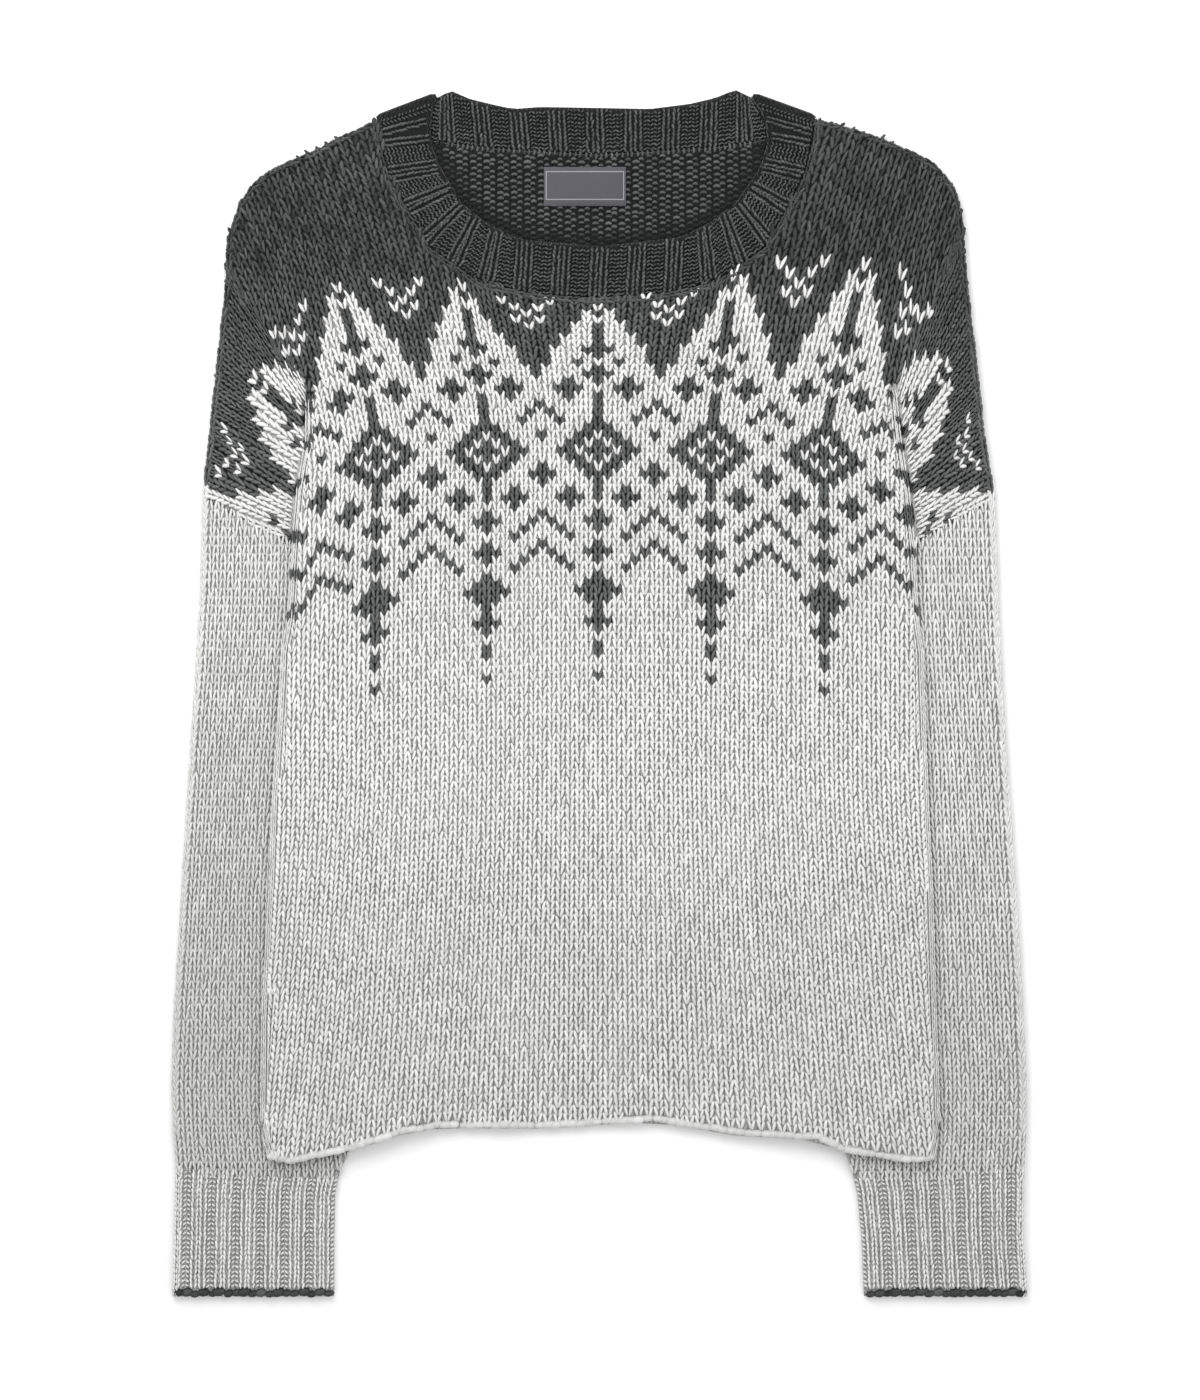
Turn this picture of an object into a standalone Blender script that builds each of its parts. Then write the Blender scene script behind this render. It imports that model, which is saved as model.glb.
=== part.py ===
"""Crew-neck pullover in heavy knit, lying flat on its back.

Metres, +Z up. The back rests on Z = 0, the neck points to +Y and the wearer's
left is at +X. The origin is the middle of the outline on the resting plane.
The sleeves lie beside the body and run in under its sides, so the layers from
the floor up are: sleeve, back, front, with the neckband lying on both.
"""

import math

import bmesh
import bpy
import numpy as np

MM = 0.001

# Cloth
WALL = 3.0 * MM             # thickness of one layer of the knit
GAP = 0.3 * MM              # air between two pieces at a seam or between layers
SEAM_GAP = 1.5 * GAP        # measured along the cloth, so about one gap square to a slanted seam
RIM = 1.0 * MM              # what is left of the wall at a rounded edge
EDGE_ROUND = 2.5 * MM       # how far in from an edge its rounding starts
SLEEVE_STACK = 2 * WALL + GAP
BODY_LIFT = SLEEVE_STACK + GAP      # how high a sleeve lifts the body that lies on it

# The fold where the body's side lies over the upper arm and the sleeve
FOLD_STEP = 3.0 * MM        # width of the fold's steep outer side
FOLD_LIP = 0.8 * MM         # how far the fold's rim is rounded down
FRONT_FOLD_RUN = 100.0 * MM     # length over which the fold dies out up the shoulder
BACK_FOLD_RUN = 6.0 * MM        # the back drops off the sleeve's end at once
SLEEVE_MARGIN = 20.0 * MM   # level cloth beyond a sleeve's hidden edge
FRONT_SLOPE = 48.0 * MM     # the front's slope from there down to the middle
BACK_SLOPE = 34.0 * MM      # the back's slope, inside the front's

# Ribs: a wave raised in the outer side of the neckband and cuffs
RIB_DEPTH = 1.2 * MM
BAND_FRONT_RIBS = 17
BAND_BACK_RIBS = 12
CUFF_RIBS = 6.5
SECTIONS_A_RIB = 4

# Grid of the panels
ARM_CELLS = 3
YOKE_ROWS = 5
CHEST_ROWS = 7
SKIRT_ROWS = 14
NECK_CELLS = 14
SHOULDER_CELLS = 3
UNDER_CELLS = 5             # from the body's side in to the underarm point
MIDDLE_CELLS = 10           # between the two underarm points
YOKE_LINE = 203.0 * MM      # level below the front neckline where yoke and chest meet

# Shoulder, from the arm's outer corner up to the neck point
#             left_x  left_y right_x right_y   (mm)
SHOULDER = ((-210.3, 285.2, 210.3, 285.2),
            (-204.5, 294.0, 207.4, 294.0),
            (-197.4, 301.0, 202.1, 301.0),
            (-189.8, 306.0, 196.3, 308.0),
            (-177.5, 311.5, 185.7, 314.4),
            (-163.5, 317.6, 171.7, 320.3),
            (-154.1, 323.2, 159.4, 325.0),
            (-140.7, 329.1, 143.6, 330.2),
            (-130.2, 334.3, 126.1, 334.3))
SHOULDER_FOLD_ROW = 5       # the row of SHOULDER where the body's side line starts

# Outer edge of the upper arm, from the corner down to the armhole seam
#             y      left_x right_x   (mm)
ARM_EDGE = ((285.2, -210.3, 210.3),
            (265.0, -217.3, 212.7),
            (241.3, -217.9, 214.4),
            (194.5, -223.2, 220.0),
            (147.7, -228.1, 225.0),
            (113.0, -232.0, 231.0))

# Side of the body: a crease above the armhole seam, a folded side below it
#              y      left_x right_x   (mm)
BODY_SIDE = ((319.0, -163.5, 171.7),
             (247.0, -168.0, 171.0),
             (183.0, -171.5, 172.5),
             (148.0, -171.5, 176.0),
             (118.0, -176.5, 180.5),
             (86.0, -179.0, 183.5),
             (44.0, -181.6, 185.5),
             (24.0, -185.0, 188.5),
             (-15.0, -187.0, 189.8),
             (-62.0, -190.4, 191.5),
             (-112.0, -192.4, 194.0),
             (-190.0, -196.8, 196.3),
             (-254.0, -197.4, 198.6),
             (-272.0, -192.8, 194.5))
ARMHOLE_ROW = 5             # the row of BODY_SIDE where the armhole seam meets it

# Armhole seam and underarm point, hidden under the body from the side inwards
UNDERARM = ((-84.5, 37.9), (85.7, 30.4))

# Hem, from side to side; it is drawn up in the middle
#        x       y   (mm)
HEM = ((-192.8, -272.0),
       (-180.0, -274.7),
       (-144.0, -267.0),
       (-115.0, -257.5),
       (-93.0, -254.2),
       (-35.0, -254.8),
       (30.0, -250.7),
       (82.0, -258.9),
       (128.0, -260.8),
       (142.5, -268.2),
       (187.5, -274.9),
       (194.5, -272.0))

# Seam of the front neckline with the neckband
#               x      y   (mm)
FRONT_NECK = ((-130.2, 334.3),
              (-129.6, 323.2),
              (-122.6, 298.0),
              (-99.2, 258.9),
              (-69.9, 238.4),
              (-34.8, 231.4),
              (0.0, 229.6),
              (33.0, 231.4),
              (67.6, 238.4),
              (96.8, 258.9),
              (119.0, 298.0),
              (126.0, 323.2),
              (126.1, 334.3))

# Seam of the back neckline with the neckband
#              x      y   (mm)
BACK_NECK = ((-130.2, 334.3),
             (-116.7, 327.3),
             (-96.8, 322.0),
             (-69.9, 318.0),
             (0.0, 313.9),
             (67.6, 318.0),
             (96.8, 322.6),
             (114.4, 327.9),
             (126.1, 334.3))

# Finished edge of the neckband, front half, from the left fold to the right one
#                x      y   (mm)
BAND_FRONT = ((-95.1, 347.7),
              (-98.6, 335.0),
              (-98.6, 322.0),
              (-92.1, 305.7),
              (-80.4, 285.8),
              (-65.8, 274.1),
              (-46.5, 264.7),
              (0.3, 260.6),
              (47.1, 265.9),
              (63.5, 274.1),
              (79.3, 285.8),
              (93.9, 306.8),
              (98.6, 323.2),
              (96.2, 334.9),
              (89.2, 347.7))

# Finished edge of the neckband, back half, from the right fold to the left one
#               x      y   (mm)
BAND_BACK = ((89.2, 347.7),
             (79.3, 352.6),
             (67.6, 347.7),
             (52.9, 344.3),
             (29.5, 341.3),
             (0.0, 341.9),
             (-34.8, 342.5),
             (-50.6, 341.3),
             (-64.1, 344.3),
             (-75.8, 347.2),
             (-86.9, 352.0),
             (-95.1, 347.7))

# How the ribs run: a place along the seam, and where the rib that starts there ends
# on the finished edge, for either half of the band
#                seam  edge
FRONT_RIB_RUN = ((0.0, 0.0),
                 (0.04, 0.085),
                 (0.10, 0.15),
                 (0.18, 0.205),
                 (0.28, 0.262),
                 (0.36, 0.33),
                 (0.5, 0.5),
                 (0.64, 0.67),
                 (0.72, 0.738),
                 (0.82, 0.795),
                 (0.90, 0.85),
                 (0.96, 0.915),
                 (1.0, 1.0))
BACK_RIB_RUN = ((0.0, 0.0),
                (0.15, 0.015),
                (0.19, 0.057),
                (0.81, 0.943),
                (0.85, 0.985),
                (1.0, 1.0))
BAND_ACROSS = (0.0, 0.08, 0.5, 0.92, 1.0)
FOLD_TURN = math.radians(50.0)      # the sections round a fold turn by this much each
FACES_UP = 0.99             # sine of the turn past which a section counts as lying flat

# Sleeves, a row for each section below the armhole seam, down to the cuff
#            outer_x outer_y inner_x inner_y at -X, then at +X   (mm)
SLEEVES = ((-233.3, 62.0, -90.0, 8.0, 232.7, 62.0, 91.0, 4.0),
           (-236.0, 12.0, -97.0, -25.0, 235.0, 12.0, 98.0, -25.0),
           (-239.5, -38.0, -105.0, -65.0, 238.0, -38.0, 105.0, -65.0),
           (-242.5, -88.0, -113.0, -105.0, 241.5, -88.0, 113.0, -105.0),
           (-245.5, -138.0, -121.0, -148.0, 245.0, -138.0, 121.0, -148.0),
           (-248.5, -185.0, -129.5, -192.0, 247.5, -185.0, 128.0, -190.0),
           (-250.0, -230.0, -137.5, -233.0, 249.5, -230.0, 135.0, -230.0),
           (-249.0, -258.0, -143.0, -262.0, 249.2, -258.0, 141.5, -262.0),
           (-247.5, -276.0, -151.5, -279.0, 248.2, -276.0, 147.5, -279.0))

# Cuffs, from the sleeve's end to the wrist
#          outer_x outer_y inner_x inner_y at -X, then at +X   (mm)
CUFFS = ((-247.5, -276.0, -151.5, -279.0, 248.2, -276.0, 147.5, -279.0),
         (-248.0, -290.0, -154.5, -293.0, 248.0, -290.0, 150.5, -293.0),
         (-248.5, -318.0, -155.0, -318.0, 247.7, -318.0, 153.0, -318.0),
         (-249.5, -352.6, -155.0, -352.6, 250.0, -352.6, 154.5, -352.6))

# Soft ridges of the front, lengthwise; each one fades out at both ends
#            x    y_top  y_bottom  half_width  height   (mm)
RIDGES = ((30.0, -90.0, -320.0, 22.0, 1.8),
          (72.0, -120.0, -320.0, 20.0, 2.4),
          (-60.0, -150.0, -320.0, 24.0, 2.0),
          (-118.0, 60.0, -180.0, 26.0, 1.4),
          (120.0, 90.0, -150.0, 26.0, 1.4),
          (-20.0, 190.0, 40.0, 28.0, 1.2))

# Woven neck label on the inside of the back
LABEL_SIZE = (48.0 * MM, 22.8 * MM, 0.6 * MM)
LABEL_CENTRE = (-8.5 * MM, 295.6 * MM)

FINISHES = {
    # node: (colour, roughness)
    "front": ((0.62, 0.62, 0.61, 1.0), 0.95),
    "back": ((0.58, 0.58, 0.57, 1.0), 0.95),
    "sleeve": ((0.64, 0.64, 0.63, 1.0), 0.95),
    "cuff": ((0.60, 0.60, 0.59, 1.0), 0.95),
    "neckband": ((0.07, 0.075, 0.073, 1.0), 0.95),
    "label": ((0.14, 0.14, 0.16, 1.0), 0.6),
}


def clear_scene():
    """Start from an empty scene."""
    for item in list(bpy.data.objects):
        bpy.data.objects.remove(item, do_unlink=True)


def points(table):
    """A table of x, y rows in millimetres as an array in metres."""
    return np.array(table, dtype=float) * MM


def side_points(table, side, last=None):
    """One side's column of a table of y, left_x, right_x rows, as x, y points."""
    rows = table[:last]
    return points([(row[1 + side], row[0]) for row in rows])


def lengths_along(line):
    """Distance from a line's start to each of its points."""
    steps = np.linalg.norm(np.diff(line, axis=0), axis=1)
    return np.concatenate(([0.0], np.cumsum(steps)))


def sample(line, places):
    """Points of a line at places from 0, its start, to 1, its end."""
    run = lengths_along(line)
    wanted = np.asarray(places) * run[-1]
    return np.column_stack([np.interp(wanted, run, line[:, axis]) for axis in (0, 1)])


def even(cells):
    """Places that divide a line into equal cells."""
    return np.linspace(0.0, 1.0, cells + 1)


def with_rims(line, first=True, last=True):
    """Add a point one edge rounding in from either end of a row of points."""
    run = lengths_along(line)
    wanted = list(run)
    if first:
        wanted.insert(1, EDGE_ROUND)
    if last:
        wanted.insert(-1, run[-1] - EDGE_ROUND)
    return np.column_stack([np.interp(wanted, run, line[:, axis]) for axis in (0, 1)])


def fill_patch(top, bottom, left, right):
    """Rows of points between four border lines that meet at their ends."""
    rows = len(left)
    columns = len(top)
    across_run = [lengths_along(line) / lengths_along(line)[-1] for line in (top, bottom)]
    down_run = [lengths_along(line) / lengths_along(line)[-1] for line in (left, right)]
    patch = np.zeros((rows, columns, 2))
    for row in range(rows):
        for column in range(columns):
            down = 0.5 * (down_run[0][row] + down_run[1][row])
            across = (1 - down) * across_run[0][column] + down * across_run[1][column]
            borders = ((1 - down) * top[column] + down * bottom[column]
                       + (1 - across) * left[row] + across * right[row])
            corners = ((1 - down) * ((1 - across) * top[0] + across * top[-1])
                       + down * ((1 - across) * bottom[0] + across * bottom[-1]))
            patch[row, column] = borders - corners
    patch[0], patch[-1] = top, bottom
    patch[:, 0], patch[:, -1] = left, right
    return patch


def ease(value):
    """A smooth step from 0 to 1 as the value goes from 0 to 1."""
    value = min(max(value, 0.0), 1.0)
    return value * value * (3.0 - 2.0 * value)


def fall(distance, run):
    """1 up to distance 0, then easing down to 0 at the end of the run."""
    return 1.0 - ease(distance / run)


def armhole_seam():
    """The seam line from arm to arm: down to one underarm, across, and up again."""
    arm_end = ARM_EDGE[-1]
    side_end = BODY_SIDE[ARMHOLE_ROW]
    return points(((arm_end[1], arm_end[0]), (side_end[1], side_end[0]), *UNDERARM,
                   (side_end[2], side_end[0]), (arm_end[2], arm_end[0])))


def lift(x, y, top_run, slope):
    """How high the body lies over the floor at x, y because of the sleeves under it."""
    seam = armhole_seam()
    above_seam = y - float(np.interp(x, seam[:, 0], seam[:, 1]))
    side = 0 if x < 0 else 1
    inner = points((UNDERARM[side], *(row[4 * side + 2:4 * side + 4] for row in SLEEVES)))[::-1]
    edge_x = float(np.interp(y, inner[:, 1], inner[:, 0]))
    beyond = abs(x) - abs(edge_x)
    over = fall(-beyond - SLEEVE_MARGIN, slope)
    return BODY_LIFT * over * fall(above_seam, top_run)


def ridges(x, y):
    """Height of the front's soft ridges at x, y."""
    height = 0.0
    for centre, y_top, y_bottom, half_width, rise in RIDGES:
        across = abs(x / MM - centre) / half_width
        along = (y_top - y / MM) / (y_top - y_bottom)
        if across < 1.0 and 0.0 < along < 1.0:
            height += rise * MM * (1.0 - ease(across)) * ease(2.5 * along) * ease(4.0 * (1.0 - along))
    return height


class Body:
    """The plan of the body: the grid that front and back share, in five patches."""

    def __init__(self, neck):
        """Lay the patches out below the neckline given by neck."""
        seam = armhole_seam()
        columns = 2 * SHOULDER_CELLS + NECK_CELLS
        shoulders = [points([row[2 * side:2 * side + 2] for row in SHOULDER]) for side in (0, 1)]
        inner = [line[SHOULDER_FOLD_ROW:] for line in shoulders]
        outer = [line[:SHOULDER_FOLD_ROW + 1] for line in shoulders]
        neck_line = sample(points(neck), even(NECK_CELLS))
        top = np.vstack((sample(inner[0], even(SHOULDER_CELLS))[:-1], neck_line,
                         sample(inner[1], even(SHOULDER_CELLS))[::-1][1:]))
        self.neck_line = neck_line
        sides = [self.side_line(side) for side in (0, 1)]
        creases = [side_points(BODY_SIDE, side, ARMHOLE_ROW + 1) for side in (0, 1)]
        for side in (0, 1):
            creases[side][0] = inner[side][0]
        yoke_ends = [self.at_level(crease, YOKE_LINE) for crease in creases]
        yoke_low = sample(np.array(yoke_ends), even(columns))
        chest_low = np.vstack((sample(seam[1:3], even(UNDER_CELLS))[:-1],
                               sample(seam[2:4], even(MIDDLE_CELLS))[:-1],
                               sample(seam[3:5], even(UNDER_CELLS))))
        hem = sample(points(HEM), even(columns))
        upper = [self.part_of(crease, above=YOKE_LINE) for crease in creases]
        lower = [self.part_of(crease, below=YOKE_LINE) for crease in creases]
        yoke_sides = [with_rims(sample(line, even(YOKE_ROWS)), True, False) for line in upper]
        chest_sides = [self.with_drop(sample(line, even(CHEST_ROWS))) for line in lower]
        skirt_sides = [with_rims(sample(line, even(SKIRT_ROWS)), False, True) for line in sides]
        self.central = (
            fill_patch(with_rims(top), with_rims(yoke_low), *yoke_sides),
            fill_patch(with_rims(yoke_low), with_rims(chest_low), *chest_sides),
            fill_patch(with_rims(chest_low), with_rims(hem), *skirt_sides))
        self.arms = [self.arm_patch(side, outer[side], yoke_sides[side], chest_sides[side], seam)
                     for side in (0, 1)]

    @staticmethod
    def side_line(side):
        """The folded side of the body from the armhole seam down to the hem."""
        return side_points(BODY_SIDE, side)[ARMHOLE_ROW:]

    @staticmethod
    def at_level(line, level):
        """The point of a falling line at a level."""
        return np.array((np.interp(-level, -line[:, 1], line[:, 0]), level))

    def part_of(self, line, above=None, below=None):
        """The stretch of a falling line above or below a level."""
        cut = self.at_level(line, above if above is not None else below)
        if above is not None:
            return np.vstack((line[line[:, 1] > above + MM], cut))
        return np.vstack((cut, line[line[:, 1] < below - MM]))

    @staticmethod
    def with_drop(line):
        """Add the point where the back starts to drop off the sleeve's end."""
        run = lengths_along(line)
        wanted = np.insert(run, -1, run[-1] - BACK_FOLD_RUN)
        return np.column_stack([np.interp(wanted, run, line[:, axis]) for axis in (0, 1)])

    @staticmethod
    def arm_patch(side, shoulder, yoke_side, chest_side, seam):
        """The upper arm beside the crease, with the fold's steep strip as its last column."""
        out = -1.0 if side == 0 else 1.0
        crease = np.vstack((yoke_side[:-1], chest_side))
        arm_line = side_points(ARM_EDGE, side)
        run = lengths_along(crease) / lengths_along(crease)[-1]
        arm_end, seam_end = (seam[0], seam[1]) if side == 0 else (seam[5], seam[4])
        foot = crease.copy()
        foot[:, 0] += out * FOLD_STEP
        along_seam = (arm_end - seam_end) / np.linalg.norm(arm_end - seam_end)
        foot[-1] = seam_end + along_seam * FOLD_STEP / abs(along_seam[0])
        along_top = (shoulder[0] - shoulder[-1]) / np.linalg.norm(shoulder[0] - shoulder[-1])
        foot[0] = shoulder[-1] + along_top * FOLD_STEP
        edge = sample(arm_line, run)
        top_run = np.vstack((shoulder[:-1], foot[0]))
        top = with_rims(sample(top_run, even(ARM_CELLS)), True, False)
        bottom = with_rims(sample(np.array((arm_end, foot[-1])), even(ARM_CELLS)), True, False)
        inner = fill_patch(top, bottom, edge, foot)
        return np.concatenate((inner, crease[:, None, :]), axis=1)


def wall_from_patches(name, patches, heights):
    """Close the patches' grid into one wall between a lower and an upper height.

    heights(x, y, in_arm, on_rim) gives both heights; a point that two patches
    share belongs to the first of them.
    """
    places = {}
    plan = []
    quads = []
    for patch, in_arm in patches:
        mirrored = patch[0, -1, 0] < patch[0, 0, 0]
        rows, columns = patch.shape[:2]
        index = np.zeros((rows, columns), dtype=int)
        for row in range(rows):
            for column in range(columns):
                x, y = patch[row, column]
                key = (round(x, 6), round(y, 6))
                if key not in places:
                    places[key] = len(plan)
                    plan.append((x, y, in_arm))
                index[row, column] = places[key]
        for row in range(rows - 1):
            for column in range(columns - 1):
                quad = [index[row, column], index[row + 1, column],
                        index[row + 1, column + 1], index[row, column + 1]]
                quads.append(quad[::-1] if mirrored else quad)
    used = {}
    for quad in quads:
        for start, end in zip(quad, quad[1:] + quad[:1]):
            used[(start, end)] = used.get((start, end), 0) + 1
    border = [edge for edge in used if (edge[1], edge[0]) not in used]
    rim = {vertex for edge in border for vertex in edge}
    mesh = bmesh.new()
    low, high = [], []
    for number, (x, y, in_arm) in enumerate(plan):
        lower, upper = heights(x, y, in_arm, number in rim)
        low.append(mesh.verts.new((x, y, lower)))
        high.append(mesh.verts.new((x, y, upper)))
    for quad in quads:
        mesh.faces.new([high[vertex] for vertex in quad])
        mesh.faces.new([low[vertex] for vertex in reversed(quad)])
    for start, end in border:
        mesh.faces.new((low[start], low[end], high[end], high[start]))
    return finish_mesh(name, mesh)


def finish_mesh(name, mesh):
    """Turn a bmesh into an object with triangles that face outwards."""
    bmesh.ops.recalc_face_normals(mesh, faces=mesh.faces)
    bmesh.ops.triangulate(mesh, faces=mesh.faces, quad_method="SHORT_EDGE")
    data = bpy.data.meshes.new(name)
    mesh.to_mesh(data)
    mesh.free()
    data.shade_smooth()
    data.set_sharp_from_angle(angle=math.radians(50.0))
    return bpy.data.objects.new(name, data)


def loft(name, rings):
    """Join closed rings of points into a skin that closes on itself, ring to ring."""
    mesh = bmesh.new()
    loops = [[mesh.verts.new(point) for point in ring] for ring in rings]
    for loop, following in zip(loops, loops[1:] + loops[:1]):
        count = len(loop)
        for place in range(count):
            after = (place + 1) % count
            mesh.faces.new((loop[place], loop[after], following[after], following[place]))
    return finish_mesh(name, mesh)


def make_front():
    """Front panel with its half of the upper arms, raised where the sleeves lie under it."""
    plan = Body(FRONT_NECK)

    def heights(x, y, in_arm, on_rim):
        raised = 0.0 if in_arm else lift(x, y, FRONT_FOLD_RUN, FRONT_SLOPE)
        lower = WALL + GAP + raised + (0.0 if in_arm else ridges(x, y))
        upper = lower + WALL
        if on_rim:
            upper = lower + RIM
        elif raised > 0.0 and on_crease(x, y):
            upper -= FOLD_LIP
        return lower, upper

    patches = [(patch, False) for patch in plan.central] + [(patch, True) for patch in plan.arms]
    return wall_from_patches("front", patches, heights), plan


def on_crease(x, y):
    """Whether a point lies on the line of the body's side."""
    side = 0 if x < 0 else 1
    line = side_points(BODY_SIDE, side)[::-1]
    return abs(x - np.interp(y, line[:, 1], line[:, 0])) < 0.5 * MM


def make_back():
    """Back panel, level on the floor except where it climbs over the sleeves."""
    plan = Body(BACK_NECK)

    def heights(x, y, in_arm, on_rim):
        lower = 0.0 if in_arm else lift(x, y, BACK_FOLD_RUN, BACK_SLOPE)
        upper = lower + WALL
        if on_rim:
            lower = upper - RIM
        return lower, upper

    patches = [(patch, False) for patch in plan.central] + [(patch, True) for patch in plan.arms]
    return wall_from_patches("back", patches, heights), plan


def flat_ring(outer, inner, top_cells, end_cells, inset, rib=None):
    """Section of a tube pressed flat between an outer and an inner point.

    inset moves the ring in from the tube's outside; rib(place) gives how far the
    upper side is sunk at a place from 0 to 1 across it.
    """
    centre_height = 0.5 * SLEEVE_STACK
    radius = centre_height - inset
    direction = (inner - outer) / np.linalg.norm(inner - outer)
    start = outer + direction * centre_height
    end = inner - direction * centre_height
    ring = []
    for step in range(top_cells + 1):
        place = step / top_cells
        sunk = rib(place) if rib else 0.0
        ring.append((*(start + (end - start) * place), centre_height + radius - sunk))
    for step in range(1, end_cells):
        angle = math.pi * step / end_cells
        ring.append((*(end + direction * radius * math.sin(angle)),
                     centre_height + radius * math.cos(angle)))
    for step in range(top_cells + 1):
        place = 1.0 - step / top_cells
        ring.append((*(start + (end - start) * place), centre_height - radius))
    for step in range(1, end_cells):
        angle = math.pi * step / end_cells
        ring.append((*(start - direction * radius * math.sin(angle)),
                     centre_height - radius * math.cos(angle)))
    return ring


def section_lines(rows, side):
    """The outer and inner point of each row of a sleeve or cuff on one side."""
    return [points([row[4 * side:4 * side + 2], row[4 * side + 2:4 * side + 4]]) for row in rows]


def make_tube(name, lines, top_cells, end_cells, rib=None):
    """A tube of cloth pressed flat, through a row of sections, open at both ends."""
    first = (lines[1] - lines[0]) / np.linalg.norm(lines[1] - lines[0], axis=1)[:, None]
    lines = [lines[0] + first * SEAM_GAP, *lines[1:]]
    outside = [flat_ring(*line, top_cells, end_cells, 0.0, rib) for line in lines]
    inside = [flat_ring(*line, top_cells, end_cells, WALL) for line in lines]
    return loft(name, outside + inside[::-1])


def rib_wave(place, count, starts_high=False):
    """How far a ribbed side is sunk at a place across it; ribs stand at full height."""
    wave = math.cos(2.0 * math.pi * place * count)
    return RIB_DEPTH * (0.5 + (-0.5 if starts_high else 0.5) * wave)


def band_section(seam, finished, turn, sunk, fold_out):
    """One section across the neckband, from its seam to its finished edge.

    turn is the way its right side faces: +90 degrees up in the front half, -90
    degrees down in the back half, and between them round the folds. sunk is how
    far the side that faces up lies below the ribs' full height.
    """
    axis_height = WALL + 0.5 * GAP
    up = math.sin(turn)
    out = math.cos(turn)
    right_side = []
    wrong_side = []
    for place in BAND_ACROSS:
        centre = seam + (finished - seam) * place
        hollow = WALL - RIM if place in (0.0, 1.0) else sunk
        far = WALL + 0.5 * GAP
        near = 0.5 * GAP
        if up > FACES_UP:
            far -= hollow
        elif up < -FACES_UP:
            near += hollow
        else:
            far -= 0.5 * hollow
        right_side.append((*(centre + fold_out * out * far), axis_height + up * far))
        wrong_side.append((*(centre + fold_out * out * near), axis_height + up * near))
    return right_side + wrong_side[::-1]


def make_neckband(front_line, back_line):
    """Ribbed neckband: one ring, folded flat at the two neck points."""
    halves = ((front_line, points(BAND_FRONT), FRONT_RIB_RUN, BAND_FRONT_RIBS, 1.0),
              (back_line[::-1], points(BAND_BACK), BACK_RIB_RUN, BAND_BACK_RIBS, -1.0))
    rings = []
    for seam_line, edge_line, rib_run, ribs, facing in halves:
        in_front = facing > 0.0
        places = even(ribs * SECTIONS_A_RIB)[1:-1]
        edge_places = np.interp(places, *np.array(rib_run).T)
        for place, seam, finished in zip(places, sample(seam_line, places),
                                         sample(edge_line, edge_places)):
            across = (finished - seam) / np.linalg.norm(finished - seam)
            sunk = rib_wave(place, ribs, starts_high=not in_front)
            rings.append(band_section(seam + across * SEAM_GAP, finished,
                                      facing * math.pi / 2, sunk, np.zeros(2)))
        seam, finished = seam_line[-1], edge_line[-1]
        across = (finished - seam) / np.linalg.norm(finished - seam)
        fold_out = np.array((-across[1], across[0]))
        fold_out *= math.copysign(1.0, fold_out[1])
        for fold_turn in (FOLD_TURN, 0.0, -FOLD_TURN):
            rings.append(band_section(seam + across * SEAM_GAP, finished,
                                      facing * fold_turn, 0.0, fold_out))
    return loft("neckband", rings)


def make_label():
    """Bare woven label, a thin slip lying on the inside of the back."""
    bpy.ops.mesh.primitive_cube_add(size=1.0)
    label = bpy.context.active_object
    label.name = "label"
    label.data.name = "label"
    width, height, thick = LABEL_SIZE
    centre = (*LABEL_CENTRE, WALL + GAP + 0.5 * thick)
    for vertex in label.data.vertices:
        x, y, z = vertex.co
        vertex.co = (centre[0] + x * width, centre[1] + y * height, centre[2] + z * thick)
    label.users_collection[0].objects.unlink(label)
    return label


def dress(item, finish):
    """Give an object its own material."""
    colour, roughness = FINISHES[finish]
    material = bpy.data.materials.new(item.name)
    material.use_nodes = True
    shader = material.node_tree.nodes["Principled BSDF"]
    shader.inputs["Base Color"].default_value = colour
    shader.inputs["Roughness"].default_value = roughness
    shader.inputs["Metallic"].default_value = 0.0
    item.data.materials.clear()
    item.data.materials.append(material)


def main():
    """Build every piece of the pullover into its collection."""
    clear_scene()
    collection = bpy.data.collections.new("pullover")
    bpy.context.scene.collection.children.link(collection)
    front, front_plan = make_front()
    back, back_plan = make_back()
    pieces = [(front, "front"), (back, "back"),
              (make_neckband(front_plan.neck_line, back_plan.neck_line), "neckband")]
    seam = armhole_seam()
    for side, side_name in enumerate(("right", "left")):
        armhole = seam[[0, 2]] if side == 0 else seam[[5, 3]]
        sleeve_lines = [armhole] + section_lines(SLEEVES, side)
        pieces.append((make_tube(f"sleeve_{side_name}", sleeve_lines, 6, 4), "sleeve"))
        pieces.append((make_tube(f"cuff_{side_name}", section_lines(CUFFS, side),
                                 int(CUFF_RIBS * SECTIONS_A_RIB), 4,
                                 lambda place: rib_wave(place, CUFF_RIBS, starts_high=True)),
                       "cuff"))
    pieces.append((make_label(), "label"))
    for item, finish in pieces:
        collection.objects.link(item)
        dress(item, finish)


main()
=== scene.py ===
"""Looks of a crew-neck pullover in heavy stranded knit, laid flat.

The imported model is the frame. Each panel gets a thin cloth shell on its solid's form,
and the knit itself is laid on that cloth stitch by stitch, along wales and courses that
are worked out from the garment's own seams. Lengths are in metres, tables in millimetres.
"""

import logging
import math
from dataclasses import dataclass, field
from enum import Enum

import bmesh
import bpy
import numpy as np
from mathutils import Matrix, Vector
from mathutils.bvhtree import BVHTree
from mathutils.kdtree import KDTree


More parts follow.
